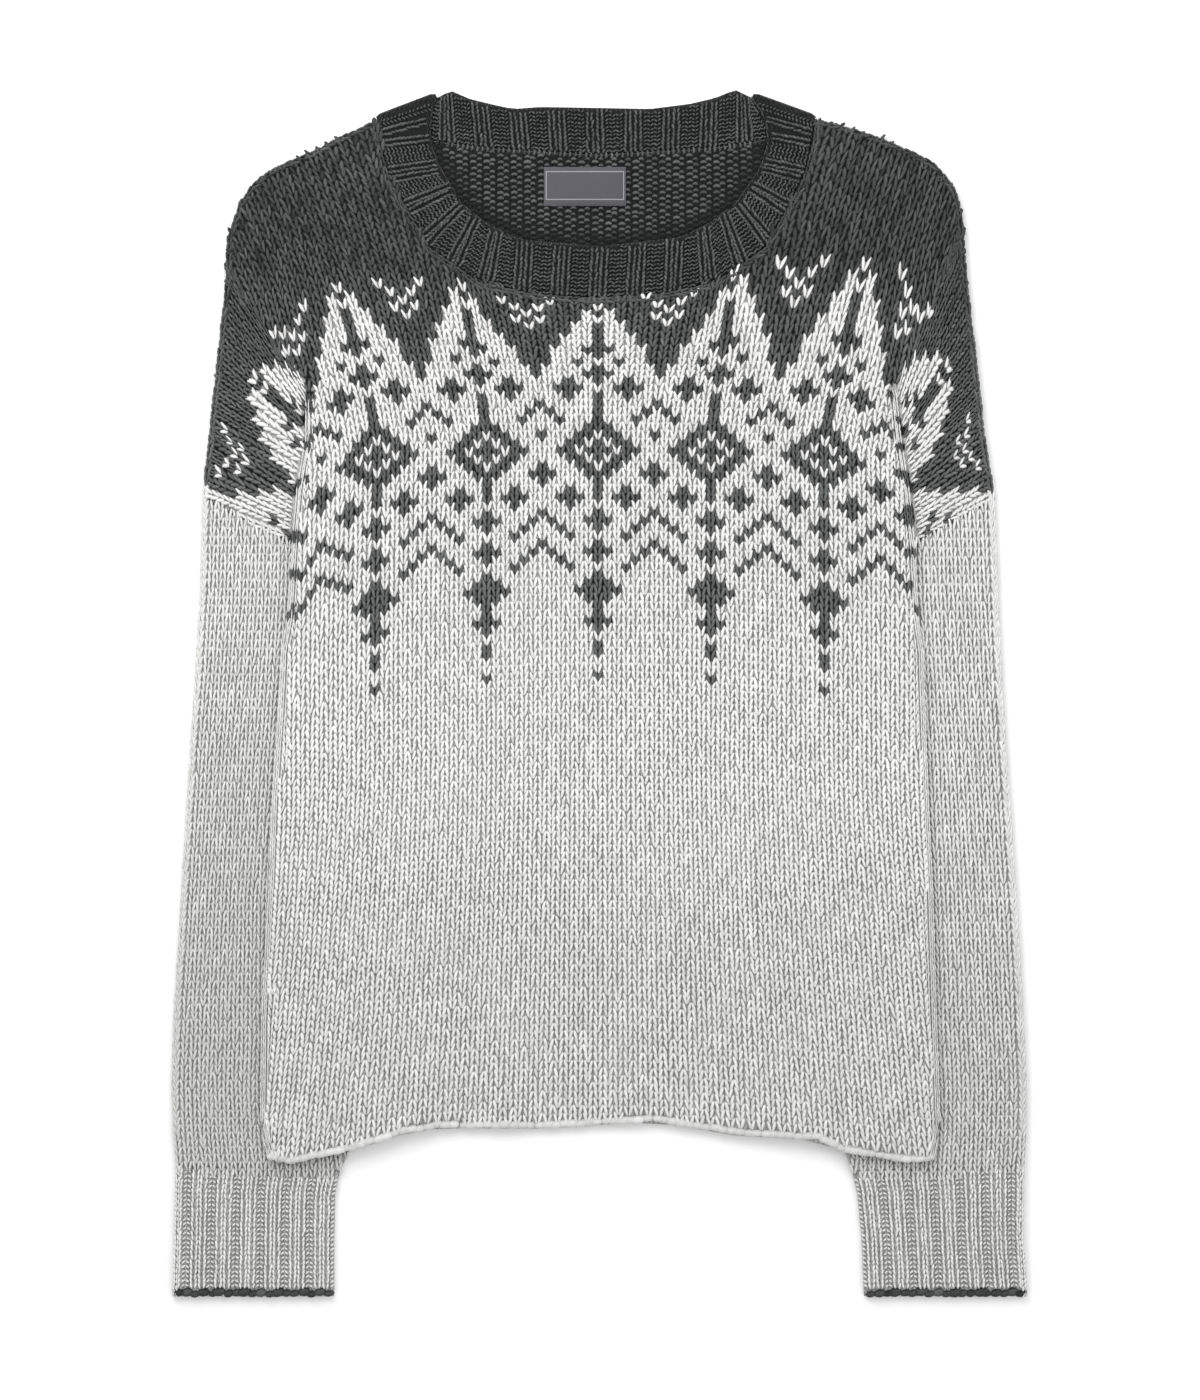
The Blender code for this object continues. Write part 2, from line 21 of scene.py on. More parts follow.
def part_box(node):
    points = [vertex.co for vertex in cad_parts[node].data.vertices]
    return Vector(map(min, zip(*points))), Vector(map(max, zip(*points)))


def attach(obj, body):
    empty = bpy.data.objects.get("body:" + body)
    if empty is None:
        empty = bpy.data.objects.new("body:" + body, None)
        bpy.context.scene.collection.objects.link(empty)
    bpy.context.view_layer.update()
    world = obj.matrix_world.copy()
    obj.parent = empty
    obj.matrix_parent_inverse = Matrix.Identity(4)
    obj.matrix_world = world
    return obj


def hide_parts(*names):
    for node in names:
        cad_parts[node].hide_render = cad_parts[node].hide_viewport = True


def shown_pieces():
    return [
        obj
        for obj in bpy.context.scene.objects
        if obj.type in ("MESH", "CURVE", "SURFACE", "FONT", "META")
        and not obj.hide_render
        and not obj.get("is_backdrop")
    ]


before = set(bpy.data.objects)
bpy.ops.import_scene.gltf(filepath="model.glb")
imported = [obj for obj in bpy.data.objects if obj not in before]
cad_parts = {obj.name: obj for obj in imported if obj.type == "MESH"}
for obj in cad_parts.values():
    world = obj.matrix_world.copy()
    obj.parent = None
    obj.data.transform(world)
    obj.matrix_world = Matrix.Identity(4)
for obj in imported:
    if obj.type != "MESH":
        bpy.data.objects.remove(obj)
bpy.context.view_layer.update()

MM = 0.001
BODY = "root"
LIGHT_SLOT = "light_yarn"
DARK_SLOT = "dark_yarn"

# Gauge of the panels, measured on the garment as it lies
CENTRE_X = -0.9         # the middle wale
WALE = 5.49             # from wale to wale
YOKE_ROW = 4.53         # from row to row in the patterned yoke
PLAIN_ROW = 4.06        # from row to row in the plain body
LOW_FROM_ROW = 30       # this many rows below the chart's foot they start to lie further apart
LOW_ROW_GROWS = 0.0066
LOW_FROM_Y = -40.0      # and below this level the wales do
LOW_RUN = 175.0
LOW_POWER = 1.4
LOW_SPREAD = 0.065
CHART_FOOT_Y = 10.2     # level of the chart's lowest row on the middle wale
ROW_SAG = 8.8           # how far a row lies lower, SAG_WALES from the middle
SAG_WALES = 24
CHART_ROWS = 52         # rows of the chart, over which the sag goes away
FAN_FROM_Y = 141.9      # above this level the wales fan out to the shoulders
FAN_RUN = 102.4
FAN_POWER = 1.35
#              wale  at_-x  at_+x   (widening after one FAN_RUN)
FAN_BY_WALE = ((0.0, 0.22, 0.24),
               (6.0, 0.34, 0.31),
               (12.0, 0.24, 0.23),
               (18.0, 0.20, 0.22),
               (24.0, 0.19, 0.205),
               (36.0, 0.165, 0.17),
               (48.0, 0.145, 0.14))
CLOSER = 0.015          # the wales at -X lie a little closer
DRAWN_IN = 0.008        # and a little more at chest level
DRAWN_Y = 140.0
DRAWN_RUN = 70.0
LIFT_FROM_ROW = 41      # above this row the rows lie further apart over the peaks
#        wale  at_-x  at_+x   (rise at row 51, mm)
LIFT = ((0.0, 0.0, 0.0), (6.0, 0.0, 4.0), (12.0, 2.8, 11.6), (18.0, -3.2, 9.2), (24.0, 0.0, 15.2))
DROOP_FROM_WALE = 24.0  # beyond this wale the rows fall away over the sides
DROOP_POWER = 1.3
#         row  at_-x at_+x   (fall at wale 30, mm)
DROOP = ((10.0, 12.0, 0.0), (20.0, 12.0, 0.0), (27.0, 8.0, 4.5), (36.0, 11.0, 9.0),
         (47.0, 18.0, 19.0))
DROOP_INWARD = 6.0      # and the wales lean in by this much at row 47
NECK_FROM_Y = 183.4     # above this level the rows lie closer below the neck
NECK_PACKED = 0.22
NECK_HALF = 60.0
NECK_BLEND = 26.0
LAST_WALE = 44
# Rows of a sleeve: their height at the armhole seam and what each further one loses; -X, +X
SLEEVE_ROWS = ((5.15, 0.0054), (5.45, 0.0088))
#                 y      wale     y     wale   (width of a sleeve's wale by level; -X, +X)
SLEEVE_WALES = (((-200.0, 4.88), (-120.0, 4.45)), ((-190.0, 5.1), (-40.0, 4.65)))
#                                 y      tone     y     tone   (painted light by level: each sleeve darker toward its cuff; -X, +X)
SLEEVE_PAINTED_LIGHT = (((-240.0, -0.29), (-144.0, -0.15), (-34.0, -0.06), (48.0, 0.0)),
                ((-240.0, -0.12), (-144.0, -0.02), (-34.0, 0.07), (48.0, 0.04)))
# painted light by level for the body's light yarn: lightest over the chest and waist, darker toward
# the hem
BODY_PAINTED_LIGHT = ((-250.0, 0.0), (-150.0, 0.02), (-57.0, 0.14), (20.0, 0.12), (60.0, 0.07))
# painted light and shade by level for the yoke's dark yarn: lighter low on the yoke, darker toward
# the neck and shoulders
DARK_YARN_PAINTED_LIGHT = ((60.0, 0.28), (150.0, 0.21), (200.0, 0.15), (228.0, 0.08), (250.0, -0.02),
              (320.0, 0.0))

# Wales of the upper arm, numbered on from the last wale of the chest
CHEST_WALES = 31
REPEAT = 12             # wales in one repeat of the yoke's chart
ARM_WALES = 16
ARM_ROWS = (39, 82)
ARM_OVERLAP = 3.0        # how far the chest's stitches reach over the arm's first wale
#             wale  at_-x  at_+x   (level where the wale leaves the crease, mm)
ARM_CREASE = ((31.0, 186.0, 184.0), (36.0, 156.5, 150.0), (42.0, 117.0, 118.0),
              (47.5, 88.5, 88.5))
#           wale  at_-x  at_+x   (level where it meets the outer edge, mm)
ARM_OUT = ((31.0, 268.0, 325.0), (32.0, 257.0, 300.0), (33.0, 245.0, 268.0), (34.0, 231.0, 247.0),
           (35.0, 217.5, 229.0), (36.0, 203.5, 213.0), (37.0, 190.0, 198.5), (38.0, 178.0, 186.0),
           (39.0, 167.0, 175.0), (40.0, 158.0, 166.0), (42.0, 149.0, 151.0), (44.0, 131.5, 136.0),
           (47.5, 107.0, 113.0))
#                wale  at_-x  at_+x   (row of the chart at the crease)
ARM_FIRST_ROW = ((36.0, 41.3, 39.4), (39.0, 39.6, 39.4))
ARM_EDGE_RUN = 25.0      # over this much of its run a wale rounds away to the edge
ARM_EDGE_ROW = (0.84, 0.70)     # its rows look shorter there, at -X and at +X
ARM_LIGHT_Y = 117.5      # below this level the upper arm is light
ARM_LIGHT_JAG = 2.2
ARM_LIGHT_REPEAT = 11.6

# Small motifs of single light stitches over the shoulders, as wale and row of the body
SHOULDER_MOTIFS = ((-28, 50), (-29, 49), (-32, 50), (-31, 49), (-30, 48), (-29, 47), (-31, 47),
                   (-30, 46), (28, 51), (29, 50), (29, 48), (30, 49), (31, 49), (32, 50),
                   (29, 46), (30, 47))
MOTIF_REACH = 2.4       # stitches this near to one of them are light too, in millimetres
SEAM_DOTS = ((-189.5, 99.5), (-180.6, 94.2), (196.7, 103.1), (204.7, 99.5), (192.2, 92.4))
NO_LATTICE = (27, 35)    # the chart's own lattice stops over these wales

# Seams and edges of the solids, repeated here because this script can't read their source
#              y      left_x right_x   (mm)
BODY_SIDE = ((319.0, -163.5, 171.7), (247.0, -168.0, 171.0), (183.0, -171.5, 172.5),
             (148.0, -171.5, 176.0), (118.0, -176.5, 180.5), (86.0, -179.0, 183.5),
             (44.0, -181.6, 185.5), (24.0, -185.0, 188.5), (-15.0, -187.0, 189.8),
             (-62.0, -190.4, 191.5), (-112.0, -192.4, 194.0), (-190.0, -196.8, 196.3),
             (-254.0, -197.4, 198.6), (-272.0, -192.8, 194.5))
FOLD_TOP_Y = 183.0
ARMHOLE_Y = 86.0
#             left_x  left_y right_x right_y   (mm)
SHOULDER = ((-210.3, 285.2, 210.3, 285.2), (-204.5, 294.0, 207.4, 294.0),
            (-197.4, 301.0, 202.1, 301.0), (-189.8, 306.0, 196.3, 308.0),
            (-177.5, 311.5, 185.7, 314.4), (-163.5, 317.6, 171.7, 320.3),
            (-154.1, 323.2, 159.4, 325.0), (-140.7, 329.1, 143.6, 330.2),
            (-130.2, 334.3, 126.1, 334.3))
#             y      left_x right_x   (mm)
ARM_EDGE = ((285.2, -210.3, 210.3), (265.0, -217.3, 212.7), (241.3, -217.9, 214.4),
            (194.5, -223.2, 220.0), (147.7, -228.1, 225.0), (113.0, -232.0, 231.0))
#        x       y   (mm)
HEM = ((-192.8, -272.0), (-180.0, -274.7), (-144.0, -267.0), (-115.0, -257.5), (-93.0, -254.2),
       (-35.0, -254.8), (30.0, -250.7), (82.0, -258.9), (128.0, -260.8), (142.5, -268.2),
       (187.5, -274.9), (194.5, -272.0))
#               x      y   (mm)
FRONT_NECK = ((-130.2, 334.3), (-129.6, 323.2), (-122.6, 298.0), (-99.2, 258.9), (-69.9, 238.4),
              (-34.8, 231.4), (0.0, 229.6), (33.0, 231.4), (67.6, 238.4), (96.8, 258.9),
              (119.0, 298.0), (126.0, 323.2), (126.1, 334.3))
BACK_NECK = ((-130.2, 334.3), (-116.7, 327.3), (-96.8, 322.0), (-69.9, 318.0), (0.0, 313.9),
             (67.6, 318.0), (96.8, 322.6), (114.4, 327.9), (126.1, 334.3))
BAND_FRONT = ((-95.1, 347.7), (-98.6, 335.0), (-98.6, 322.0), (-92.1, 305.7), (-80.4, 285.8),
              (-65.8, 274.1), (-46.5, 264.7), (0.3, 260.6), (47.1, 265.9), (63.5, 274.1),
              (79.3, 285.8), (93.9, 306.8), (98.6, 323.2), (96.2, 334.9), (89.2, 347.7))
BAND_BACK = ((89.2, 347.7), (79.3, 352.6), (67.6, 347.7), (52.9, 344.3), (29.5, 341.3),
             (0.0, 341.9), (-34.8, 342.5), (-50.6, 341.3), (-64.1, 344.3), (-75.8, 347.2),
             (-86.9, 352.0), (-95.1, 347.7))
BAND_FRONT_RIBS = 17
BAND_BACK_RIBS = 12
#                seam  edge   (places along the half's seam and finished edge)
FRONT_RIB_RUN = ((0.0, 0.0), (0.04, 0.085), (0.10, 0.15), (0.18, 0.205), (0.28, 0.262),
                 (0.36, 0.33), (0.5, 0.5), (0.64, 0.67), (0.72, 0.738), (0.82, 0.795),
                 (0.90, 0.85), (0.96, 0.915), (1.0, 1.0))
BACK_RIB_RUN = ((0.0, 0.0), (0.15, 0.015), (0.19, 0.057), (0.81, 0.943), (0.85, 0.985),
                (1.0, 1.0))
#            outer_x outer_y inner_x inner_y at -X, then at +X   (mm)
SLEEVES = ((-232.0, 113.0, -84.5, 37.9, 231.0, 113.0, 85.7, 30.4),
           (-233.3, 62.0, -90.0, 8.0, 232.7, 62.0, 91.0, 4.0),
           (-236.0, 12.0, -97.0, -25.0, 235.0, 12.0, 98.0, -25.0),
           (-239.5, -38.0, -105.0, -65.0, 238.0, -38.0, 105.0, -65.0),
           (-242.5, -88.0, -113.0, -105.0, 241.5, -88.0, 113.0, -105.0),
           (-245.5, -138.0, -121.0, -148.0, 245.0, -138.0, 121.0, -148.0),
           (-248.5, -185.0, -129.5, -192.0, 247.5, -185.0, 128.0, -190.0),
           (-250.0, -230.0, -137.5, -233.0, 249.5, -230.0, 135.0, -230.0),
           (-249.0, -258.0, -143.0, -262.0, 249.2, -258.0, 141.5, -262.0),
           (-247.5, -276.0, -151.5, -279.0, 248.2, -276.0, 147.5, -279.0))
CUFFS = ((-247.5, -276.0, -151.5, -279.0, 248.2, -276.0, 147.5, -279.0),
         (-248.0, -290.0, -154.5, -293.0, 248.0, -290.0, 150.5, -293.0),
         (-248.5, -318.0, -155.0, -318.0, 247.7, -318.0, 153.0, -318.0),
         (-249.5, -352.6, -155.0, -352.6, 250.0, -352.6, 154.5, -352.6))
CUFF_RIBS = 6.5
PLAIN_END = (-279.5, -285.5)    # where the plain knit ends, at the outer and the inner edge


class Side(Enum):
    """The two sides of the garment, by the sign of X."""

    RIGHT = -1
    LEFT = 1

    @property
    def column(self) -> int:
        """Place of this side's x in a row of y, left_x, right_x."""
        return 1 if self is Side.RIGHT else 2

    @property
    def name_part(self) -> str:
        """The side's word in a node's name."""
        return self.name.lower()


class Ply(Enum):
    """Which yarn a stitch is worked in."""

    LIGHT = 0
    DARK = 1


def line_of(table: tuple) -> np.ndarray:
    """A table of x, y rows in millimetres as an array."""
    return np.array(table, dtype=float)


def run_of(line: np.ndarray) -> np.ndarray:
    """Distance from a line's start to each of its points."""
    return np.concatenate(([0.0], np.cumsum(np.linalg.norm(np.diff(line, axis=0), axis=1))))


def sample(line: np.ndarray, places: np.ndarray) -> np.ndarray:
    """Points along a line.

    Args:
        line: the line's points.
        places: wanted places from 0, its start, to 1, its end.

    Returns:
        One point for each place.
    """
    run = run_of(line)
    wanted = np.asarray(places) * run[-1]
    return np.column_stack([np.interp(wanted, run, line[:, axis]) for axis in (0, 1)])


def side_x(table: tuple, side: Side, level: np.ndarray) -> np.ndarray:
    """x at given levels of one side's line, from a falling table of y, left_x, right_x."""
    rows = np.array(table)
    return np.interp(-np.asarray(level), -rows[:, 0], rows[:, side.column])


def by_level(table: tuple, level: np.ndarray) -> np.ndarray:
    """A value at given levels, from a rising table of level and value."""
    rows = np.array(table)
    return np.interp(level, rows[:, 0], rows[:, 1])


def ease(value: np.ndarray) -> np.ndarray:
    """A smooth step from 0 to 1 as the value goes from 0 to 1."""
    clipped = np.clip(value, 0.0, 1.0)
    return clipped * clipped * (3.0 - 2.0 * clipped)


def deselect() -> None:
    """Deselect every object."""
    for item in bpy.context.selected_objects:
        item.select_set(False)


def link(item: bpy.types.Object) -> None:
    """Put a new object in the scene."""
    bpy.context.scene.collection.objects.link(item)


# ---------------------------------------------------------------- finishes


class Shading:
    """A new material, whose nodes are each made and linked in one call."""

    def __init__(self, name: str, roughness: float, sheen: float, sheen_roughness: float,
                 specular: float = 0.5) -> None:
        """Make the material and set what its shader has all over.

        Args:
            name: the material's name.
            roughness: the shader's roughness.
            sheen: weight of its sheen.
            sheen_roughness: how rough the sheen is.
            specular: its specular level.
        """
        self.material = bpy.data.materials.new(name)
        self.material.use_nodes = True
        self.shader = self.material.node_tree.nodes["Principled BSDF"]
        self.feed(self.shader, {"Roughness": roughness, "Sheen Weight": sheen,
                                "Sheen Roughness": sheen_roughness,
                                "Specular IOR Level": specular})

    def feed(self, node: bpy.types.Node, inputs: dict) -> None:
        """Link each input that is given a socket and set each that is given a value.

        Args:
            node: the node.
            inputs: a socket or a value for each input, by its name or number.
        """
        for key, value in inputs.items():
            if isinstance(value, bpy.types.NodeSocket):
                self.material.node_tree.links.new(value, node.inputs[key])
            else:
                node.inputs[key].default_value = value

    def node(self, kind: str, inputs: dict, **settings: str) -> bpy.types.Node:
        """Make one node.

        Args:
            kind: the shader node's type, without its first word.
            inputs: a socket or a value for each input, by its name or number.
            settings: the node's own settings.

        Returns:
            The node.
        """
        made = self.material.node_tree.nodes.new(f"ShaderNode{kind}")
        for name, value in settings.items():
            setattr(made, name, value)
        self.feed(made, inputs)
        return made

    def place(self) -> bpy.types.NodeSocket:
        """Object coordinates."""
        return self.node("TexCoord", {}).outputs["Object"]

    def attribute(self, name: str) -> bpy.types.NodeSocket:
        """One of the mesh's own attributes, as a number."""
        return self.node("Attribute", {}, attribute_name=name).outputs["Fac"]

    def noise(self, vector: bpy.types.NodeSocket, scale: float,
              detail: float = 2.0) -> bpy.types.NodeSocket:
        """Noise over a vector."""
        inputs = {"Vector": vector, "Scale": scale, "Detail": detail}
        return self.node("TexNoise", inputs).outputs["Fac"]

    def math(self, operation: str, *operands) -> bpy.types.NodeSocket:
        """The result of a sum; each operand is a socket or a number."""
        inputs = dict(enumerate(operands))
        return self.node("Math", inputs, operation=operation).outputs["Value"]

    def wave(self, value: bpy.types.NodeSocket, period: float) -> bpy.types.NodeSocket:
        """A cosine of a coordinate, from crest to crest in one period."""
        return self.math("COSINE", self.math("MULTIPLY", value, 2.0 * math.pi / period))

    def mix(self, blend: str, share, first, second) -> bpy.types.NodeSocket:
        """Two colours mixed; each is a socket or a value, as the share of the second is."""
        inputs = {"Factor": share, "A": first, "B": second}
        return self.node("Mix", inputs, data_type="RGBA", blend_type=blend).outputs["Result"]

    def tint(self, colour: bpy.types.NodeSocket, value: bpy.types.NodeSocket,
             low: float, high: float, start: float = 0.0, end: float = 1.0) -> None:
        """Give the shader a colour, made darker and lighter by a value.

        Args:
            colour: the colour.
            value: what shades it.
            low: the colour's factor where the value is at its start.
            high: the factor where it is at its end.
            start: the value's start.
            end: the value's end.
        """
        shade = self.node("MapRange", {"Value": value, "From Min": start, "From Max": end,
                                       "To Min": low, "To Max": high}).outputs["Result"]
        self.feed(self.shader, {"Base Color": self.mix("MULTIPLY", 1.0, colour, shade)})

    def bump(self, height: bpy.types.NodeSocket, strength: float, distance: float) -> None:
        """Give the shader a bump."""
        made = self.node("Bump", {"Height": height, "Strength": strength, "Distance": distance})
        self.feed(self.shader, {"Normal": made.outputs["Normal"]})


@dataclass(frozen=True)
class Wool:
    """Finish of a soft, slightly hairy yarn."""

    name: str
    slot: str
    # crown and hollow: ends of the colour ramp, used for the yarn's own fibre tone and for the
    # painted shade of each strand
    crown: tuple
    hollow: tuple
    heather: float = 0.16
    fibres: float = 0.45
    fibre_bump: float = 0.35
    sheen: float = 0.25
    # strength of the painted shade on each strand: crown lighter, foot and ends darker
    relief_shade: float = 1.0     # how strongly a strand darkens from its crown to its foot

    def material(self) -> bpy.types.Material:
        """Find or build the material; its fibres run along each strand, by its UV map."""
        if self.name in bpy.data.materials:
            return bpy.data.materials[self.name]
        made = Shading(self.name, roughness=0.92, sheen=self.sheen, sheen_roughness=0.45,
                       specular=0.25)
        strand = made.node("UVMap", {}, uv_map="strand").outputs["UV"]
        stretched = made.node("Mapping", {"Vector": strand, "Scale": (5.0, 0.55, 1.0)})
        fibres = made.noise(stretched.outputs["Vector"], scale=2.6, detail=3.0)
        heather = made.noise(made.place(), scale=55.0, detail=4.0)
        # the tone attribute carries each strand's painted shade and the painted light by level,
        # with random tone; it moves the colour along the ramp from hollow to crown
        tone = made.math("MULTIPLY_ADD", heather, self.heather, made.attribute("tone"))
        ramp = made.node("ValToRGB", {"Fac": made.math("MULTIPLY_ADD", fibres, self.fibres, tone)})
        for element, at, colour in zip(ramp.color_ramp.elements, (0.18, 0.82),
                                       (self.hollow, self.crown)):
            element.position = at
            element.color = (*colour, 1.0)
        made.feed(made.shader, {"Base Color": ramp.outputs["Color"]})
        made.bump(fibres, strength=self.fibre_bump, distance=0.4 * MM)
        return made.material


@dataclass(frozen=True)
class PaintedShadeGround:
    """Finish of the cloth under the stitches, which shows between them and on hidden sides; its
    colours are painted shade.
    """

    name: str
    light: tuple
    dark: tuple
    wale: float = WALE * MM
    row: float = PLAIN_ROW * MM
    leg_slope: float = 0.8      # how far a stitch's legs rise, in rows

    def material(self) -> bpy.types.Material:
        """Find or build the material; its colour follows the piece's own dark attribute."""
        if self.name in bpy.data.materials:
            return bpy.data.materials[self.name]
        made = Shading(self.name, roughness=0.95, sheen=0.15, sheen_roughness=0.5, specular=0.2)
        place = made.place()
        axes = made.node("SeparateXYZ", {"Vector": place}).outputs
        fold = made.math("ABSOLUTE", made.wave(axes["X"], self.wale))
        skew = made.math("MULTIPLY_ADD", fold, self.row * self.leg_slope, axes["Y"])
        knit = made.math("MULTIPLY_ADD", made.wave(skew, self.row), 0.5, fold)
        worn = made.noise(place, scale=220.0, detail=4.0)
        relief_shade = made.math("MULTIPLY_ADD", worn, 0.5, knit)
        colour = made.mix("MIX", made.attribute("dark"), (*self.light, 1.0), (*self.dark, 1.0))
        # painted shade: the ground's knit pattern is darker in its grooves and lighter on its
        # ridges
        made.tint(colour, relief_shade, low=0.72, high=1.12, start=-0.2, end=1.4)
        made.bump(relief_shade, strength=0.8, distance=0.9 * MM)
        return made.material


@dataclass(frozen=True)
class Ribbon:
    """Finish of a tightly woven satin ribbon with a plain woven border."""

    name: str
    field_colour: tuple
    border_colour: tuple
    centre: tuple
    half: tuple
    border_in: tuple
    border_wide: float

    def material(self) -> bpy.types.Material:
        """Build the material, a fine weave in Object coordinates with one thin border line."""
        made = Shading(self.name, roughness=0.55, sheen=0.2, sheen_roughness=0.4)
        place = made.place()
        axes = made.node("SeparateXYZ", {"Vector": place}).outputs
        gaps = []
        for axis, centre, half, inset in zip("XY", self.centre, self.half, self.border_in):
            away = made.math("ABSOLUTE", made.math("SUBTRACT", axes[axis], centre))
            gaps.append(made.math("SUBTRACT", half - inset, away))
        half_line = 0.5 * self.border_wide
        on_line = made.math("COMPARE", made.math("MINIMUM", *gaps), half_line, half_line)
        weave = made.node("TexChecker", {"Vector": place, "Scale": 2400.0}).outputs["Fac"]
        colour = made.mix("MIX", on_line, (*self.field_colour, 1.0), (*self.border_colour, 1.0))
        made.tint(colour, made.noise(place, scale=900.0), low=0.82, high=1.15)
        made.bump(weave, strength=0.25, distance=0.1 * MM)
        return made.material


LIGHT_WOOL = Wool("light_wool", LIGHT_SLOT, crown=(0.90, 0.90, 0.892), hollow=(0.56, 0.56, 0.552),
                  relief_shade=0.7)
DARK_WOOL = Wool("dark_wool", DARK_SLOT, crown=(0.14, 0.147, 0.144), hollow=(0.006, 0.007, 0.007),
                 sheen=0.08, relief_shade=1.32)
# the ground is painted far darker than either yarn, as the shade between the stitches
PAINTED_SHADE_GROUND = PaintedShadeGround("knit_ground_painted_shade", light=(0.40, 0.40, 0.395), dark=(0.005, 0.0055, 0.006))


# ---------------------------------------------------------------- the yoke's chart


@dataclass(frozen=True)
class Chart:
    """Colour chart of the yoke: one mirrored repeat of common stranded motifs.

    A stitch is named by its distance in wales from the motif's stem, 0 to 6, and its row
    above the chart's foot. Small functions place dots, bars, plus signs, chevrons and a
    lozenge; above the light peaks the ground is dark with a small lattice of light stitches.
    """

    repeat: int = REPEAT
    foot_dots: tuple = (0, 3, 4)
    stem: tuple = (6, 13)
    serif_row: int = 7
    arrow: tuple = ((10, 1), (11, 2), (12, 1))
    stem_pluses: tuple = (16, 20)
    upper_stem: tuple = (23, 26)
    lozenge_row: int = 29
    lozenge_half: int = 4
    lozenge_ring: int = 2
    chevrons: tuple = (14, 18)
    chevron_from: int = 3
    pluses: tuple = ((3, 23), (6, 26), (3, 37))
    wedge: tuple = (4, 33)
    wedge_dot: tuple = (6, 31)
    tip_stem: tuple = (34, 36)
    tip_plus: tuple = (38, 40)
    wing_dots: tuple = ((1, 43), (2, 41))
    slot: tuple = (42, 47)
    slot_dot: int = 49
    peak: tuple = (51, 50, 48, 46, 44, 41, 39)
    lattice: tuple = ((6, 47), (5, 48), (6, 49), (5, 50), (4, 51))

    def is_dark(self, wale: int, row: int) -> bool:
        """Whether a stitch is worked in the dark yarn.

        Args:
            wale: the stitch's wale, 0 in the middle of the front.
            row: its row above the chart's foot.

        Returns:
            True for the dark yarn.
        """
        out = wale % self.repeat
        out = min(out, self.repeat - out)
        if row < 0:
            return False
        if row >= self.peak[out]:
            bare = NO_LATTICE[0] <= abs(wale) <= NO_LATTICE[1]
            return bare or (out, row) not in self.lattice
        return (self.on_stem(out, row) or self.in_lozenge(out, row)
                or self.between_stems(out, row))

    def on_stem(self, out: int, row: int) -> bool:
        """Whether the stitch belongs to the stem's dots, bars and pluses.

        Args:
            out: the stitch's distance from the stem, in wales.
            row: its row.

        Returns:
            True for the dark yarn.
        """
        if out == 0:
            spans = (self.stem, self.upper_stem, self.tip_stem, self.tip_plus, self.slot)
            return (any(low <= row <= high for low, high in spans)
                    or row in (*self.foot_dots, self.slot_dot)
                    or any(abs(row - centre) <= 1 for centre in self.stem_pluses))
        if out == 1 and row in (self.serif_row, self.tip_plus[0] + 1, *self.stem_pluses):
            return True
        return (out, row) in self.wing_dots or any(
            row == level and out <= reach for level, reach in self.arrow)

    def in_lozenge(self, out: int, row: int) -> bool:
        """Whether the stitch is dark in the large lozenge with its light ring."""
        ring = out + abs(row - self.lozenge_row)
        return ring <= self.lozenge_half and ring != self.lozenge_ring

    def between_stems(self, out: int, row: int) -> bool:
        """Whether the stitch belongs to the chevrons, pluses and wedge between two stems.

        Args:
            out: the stitch's distance from the stem, in wales.
            row: its row.

        Returns:
            True for the dark yarn.
        """
        if out >= self.chevron_from and row - out + self.chevron_from in self.chevrons:
            return True
        if any(abs(out - wale) + abs(row - centre) <= 1 for wale, centre in self.pluses):
            return True
        wale, foot = self.wedge
        return (out, row) == self.wedge_dot or (out >= wale and row == foot + out - wale)


CHART = Chart()


# ---------------------------------------------------------------- stitches


@dataclass
class Stitches:
    """Places of many stitches: a point, two edge vectors, a normal and a yarn for each."""

    points: list = field(default_factory=list)
    across: list = field(default_factory=list)
    along: list = field(default_factory=list)
    normals: list = field(default_factory=list)
    yarns: list = field(default_factory=list)

    def add(self, point: np.ndarray, across: np.ndarray, along: np.ndarray,
            normal: np.ndarray, yarn: Ply) -> None:
        """Add one stitch.

        Args:
            point: its middle on the cloth.
            across: one wale's width as a vector.
            along: one row's height as a vector.
            normal: the cloth's unit normal.
            yarn: the yarn it is worked in.
        """
        self.points.append(point)
        self.across.append(across)
        self.along.append(along)
        self.normals.append(normal)
        self.yarns.append(yarn.value)

    def extend(self, other: "Stitches") -> None:
        """Add all stitches of another set."""
        for part in ("points", "across", "along", "normals", "yarns"):
            getattr(self, part).extend(getattr(other, part))

    def chosen(self, keep: np.ndarray) -> "Stitches":
        """The stitches that a mask keeps."""
        keep = np.asarray(keep)
        return Stitches(*(np.array(part)[keep] for part in (
            self.points, self.across, self.along, self.normals, self.yarns)))

    def of(self, yarn: Ply) -> "Stitches":
        """The stitches of one yarn."""
        return self.chosen(np.array(self.yarns) == yarn.value)

    def levels(self) -> np.ndarray:
        """y of each stitch, in millimetres."""
        return np.array(self.points)[:, 1] / MM

    def __len__(self) -> int:
        """How many stitches there are."""
        return len(self.points)


#                             width  height shade   (of a strand's ring, over its crown and at its foot; the shade is painted: lighter on the crown, darker at the foot)
STRAND_CROWN = (0.45, 1.0, 0.10)
STRAND_FOOT = (1.0, -0.35, -0.16)
STRAND_END_PAINTED_SHADE = -0.22       # its shade where it dives under the next stitch
UNEVEN_TONE = 0.07


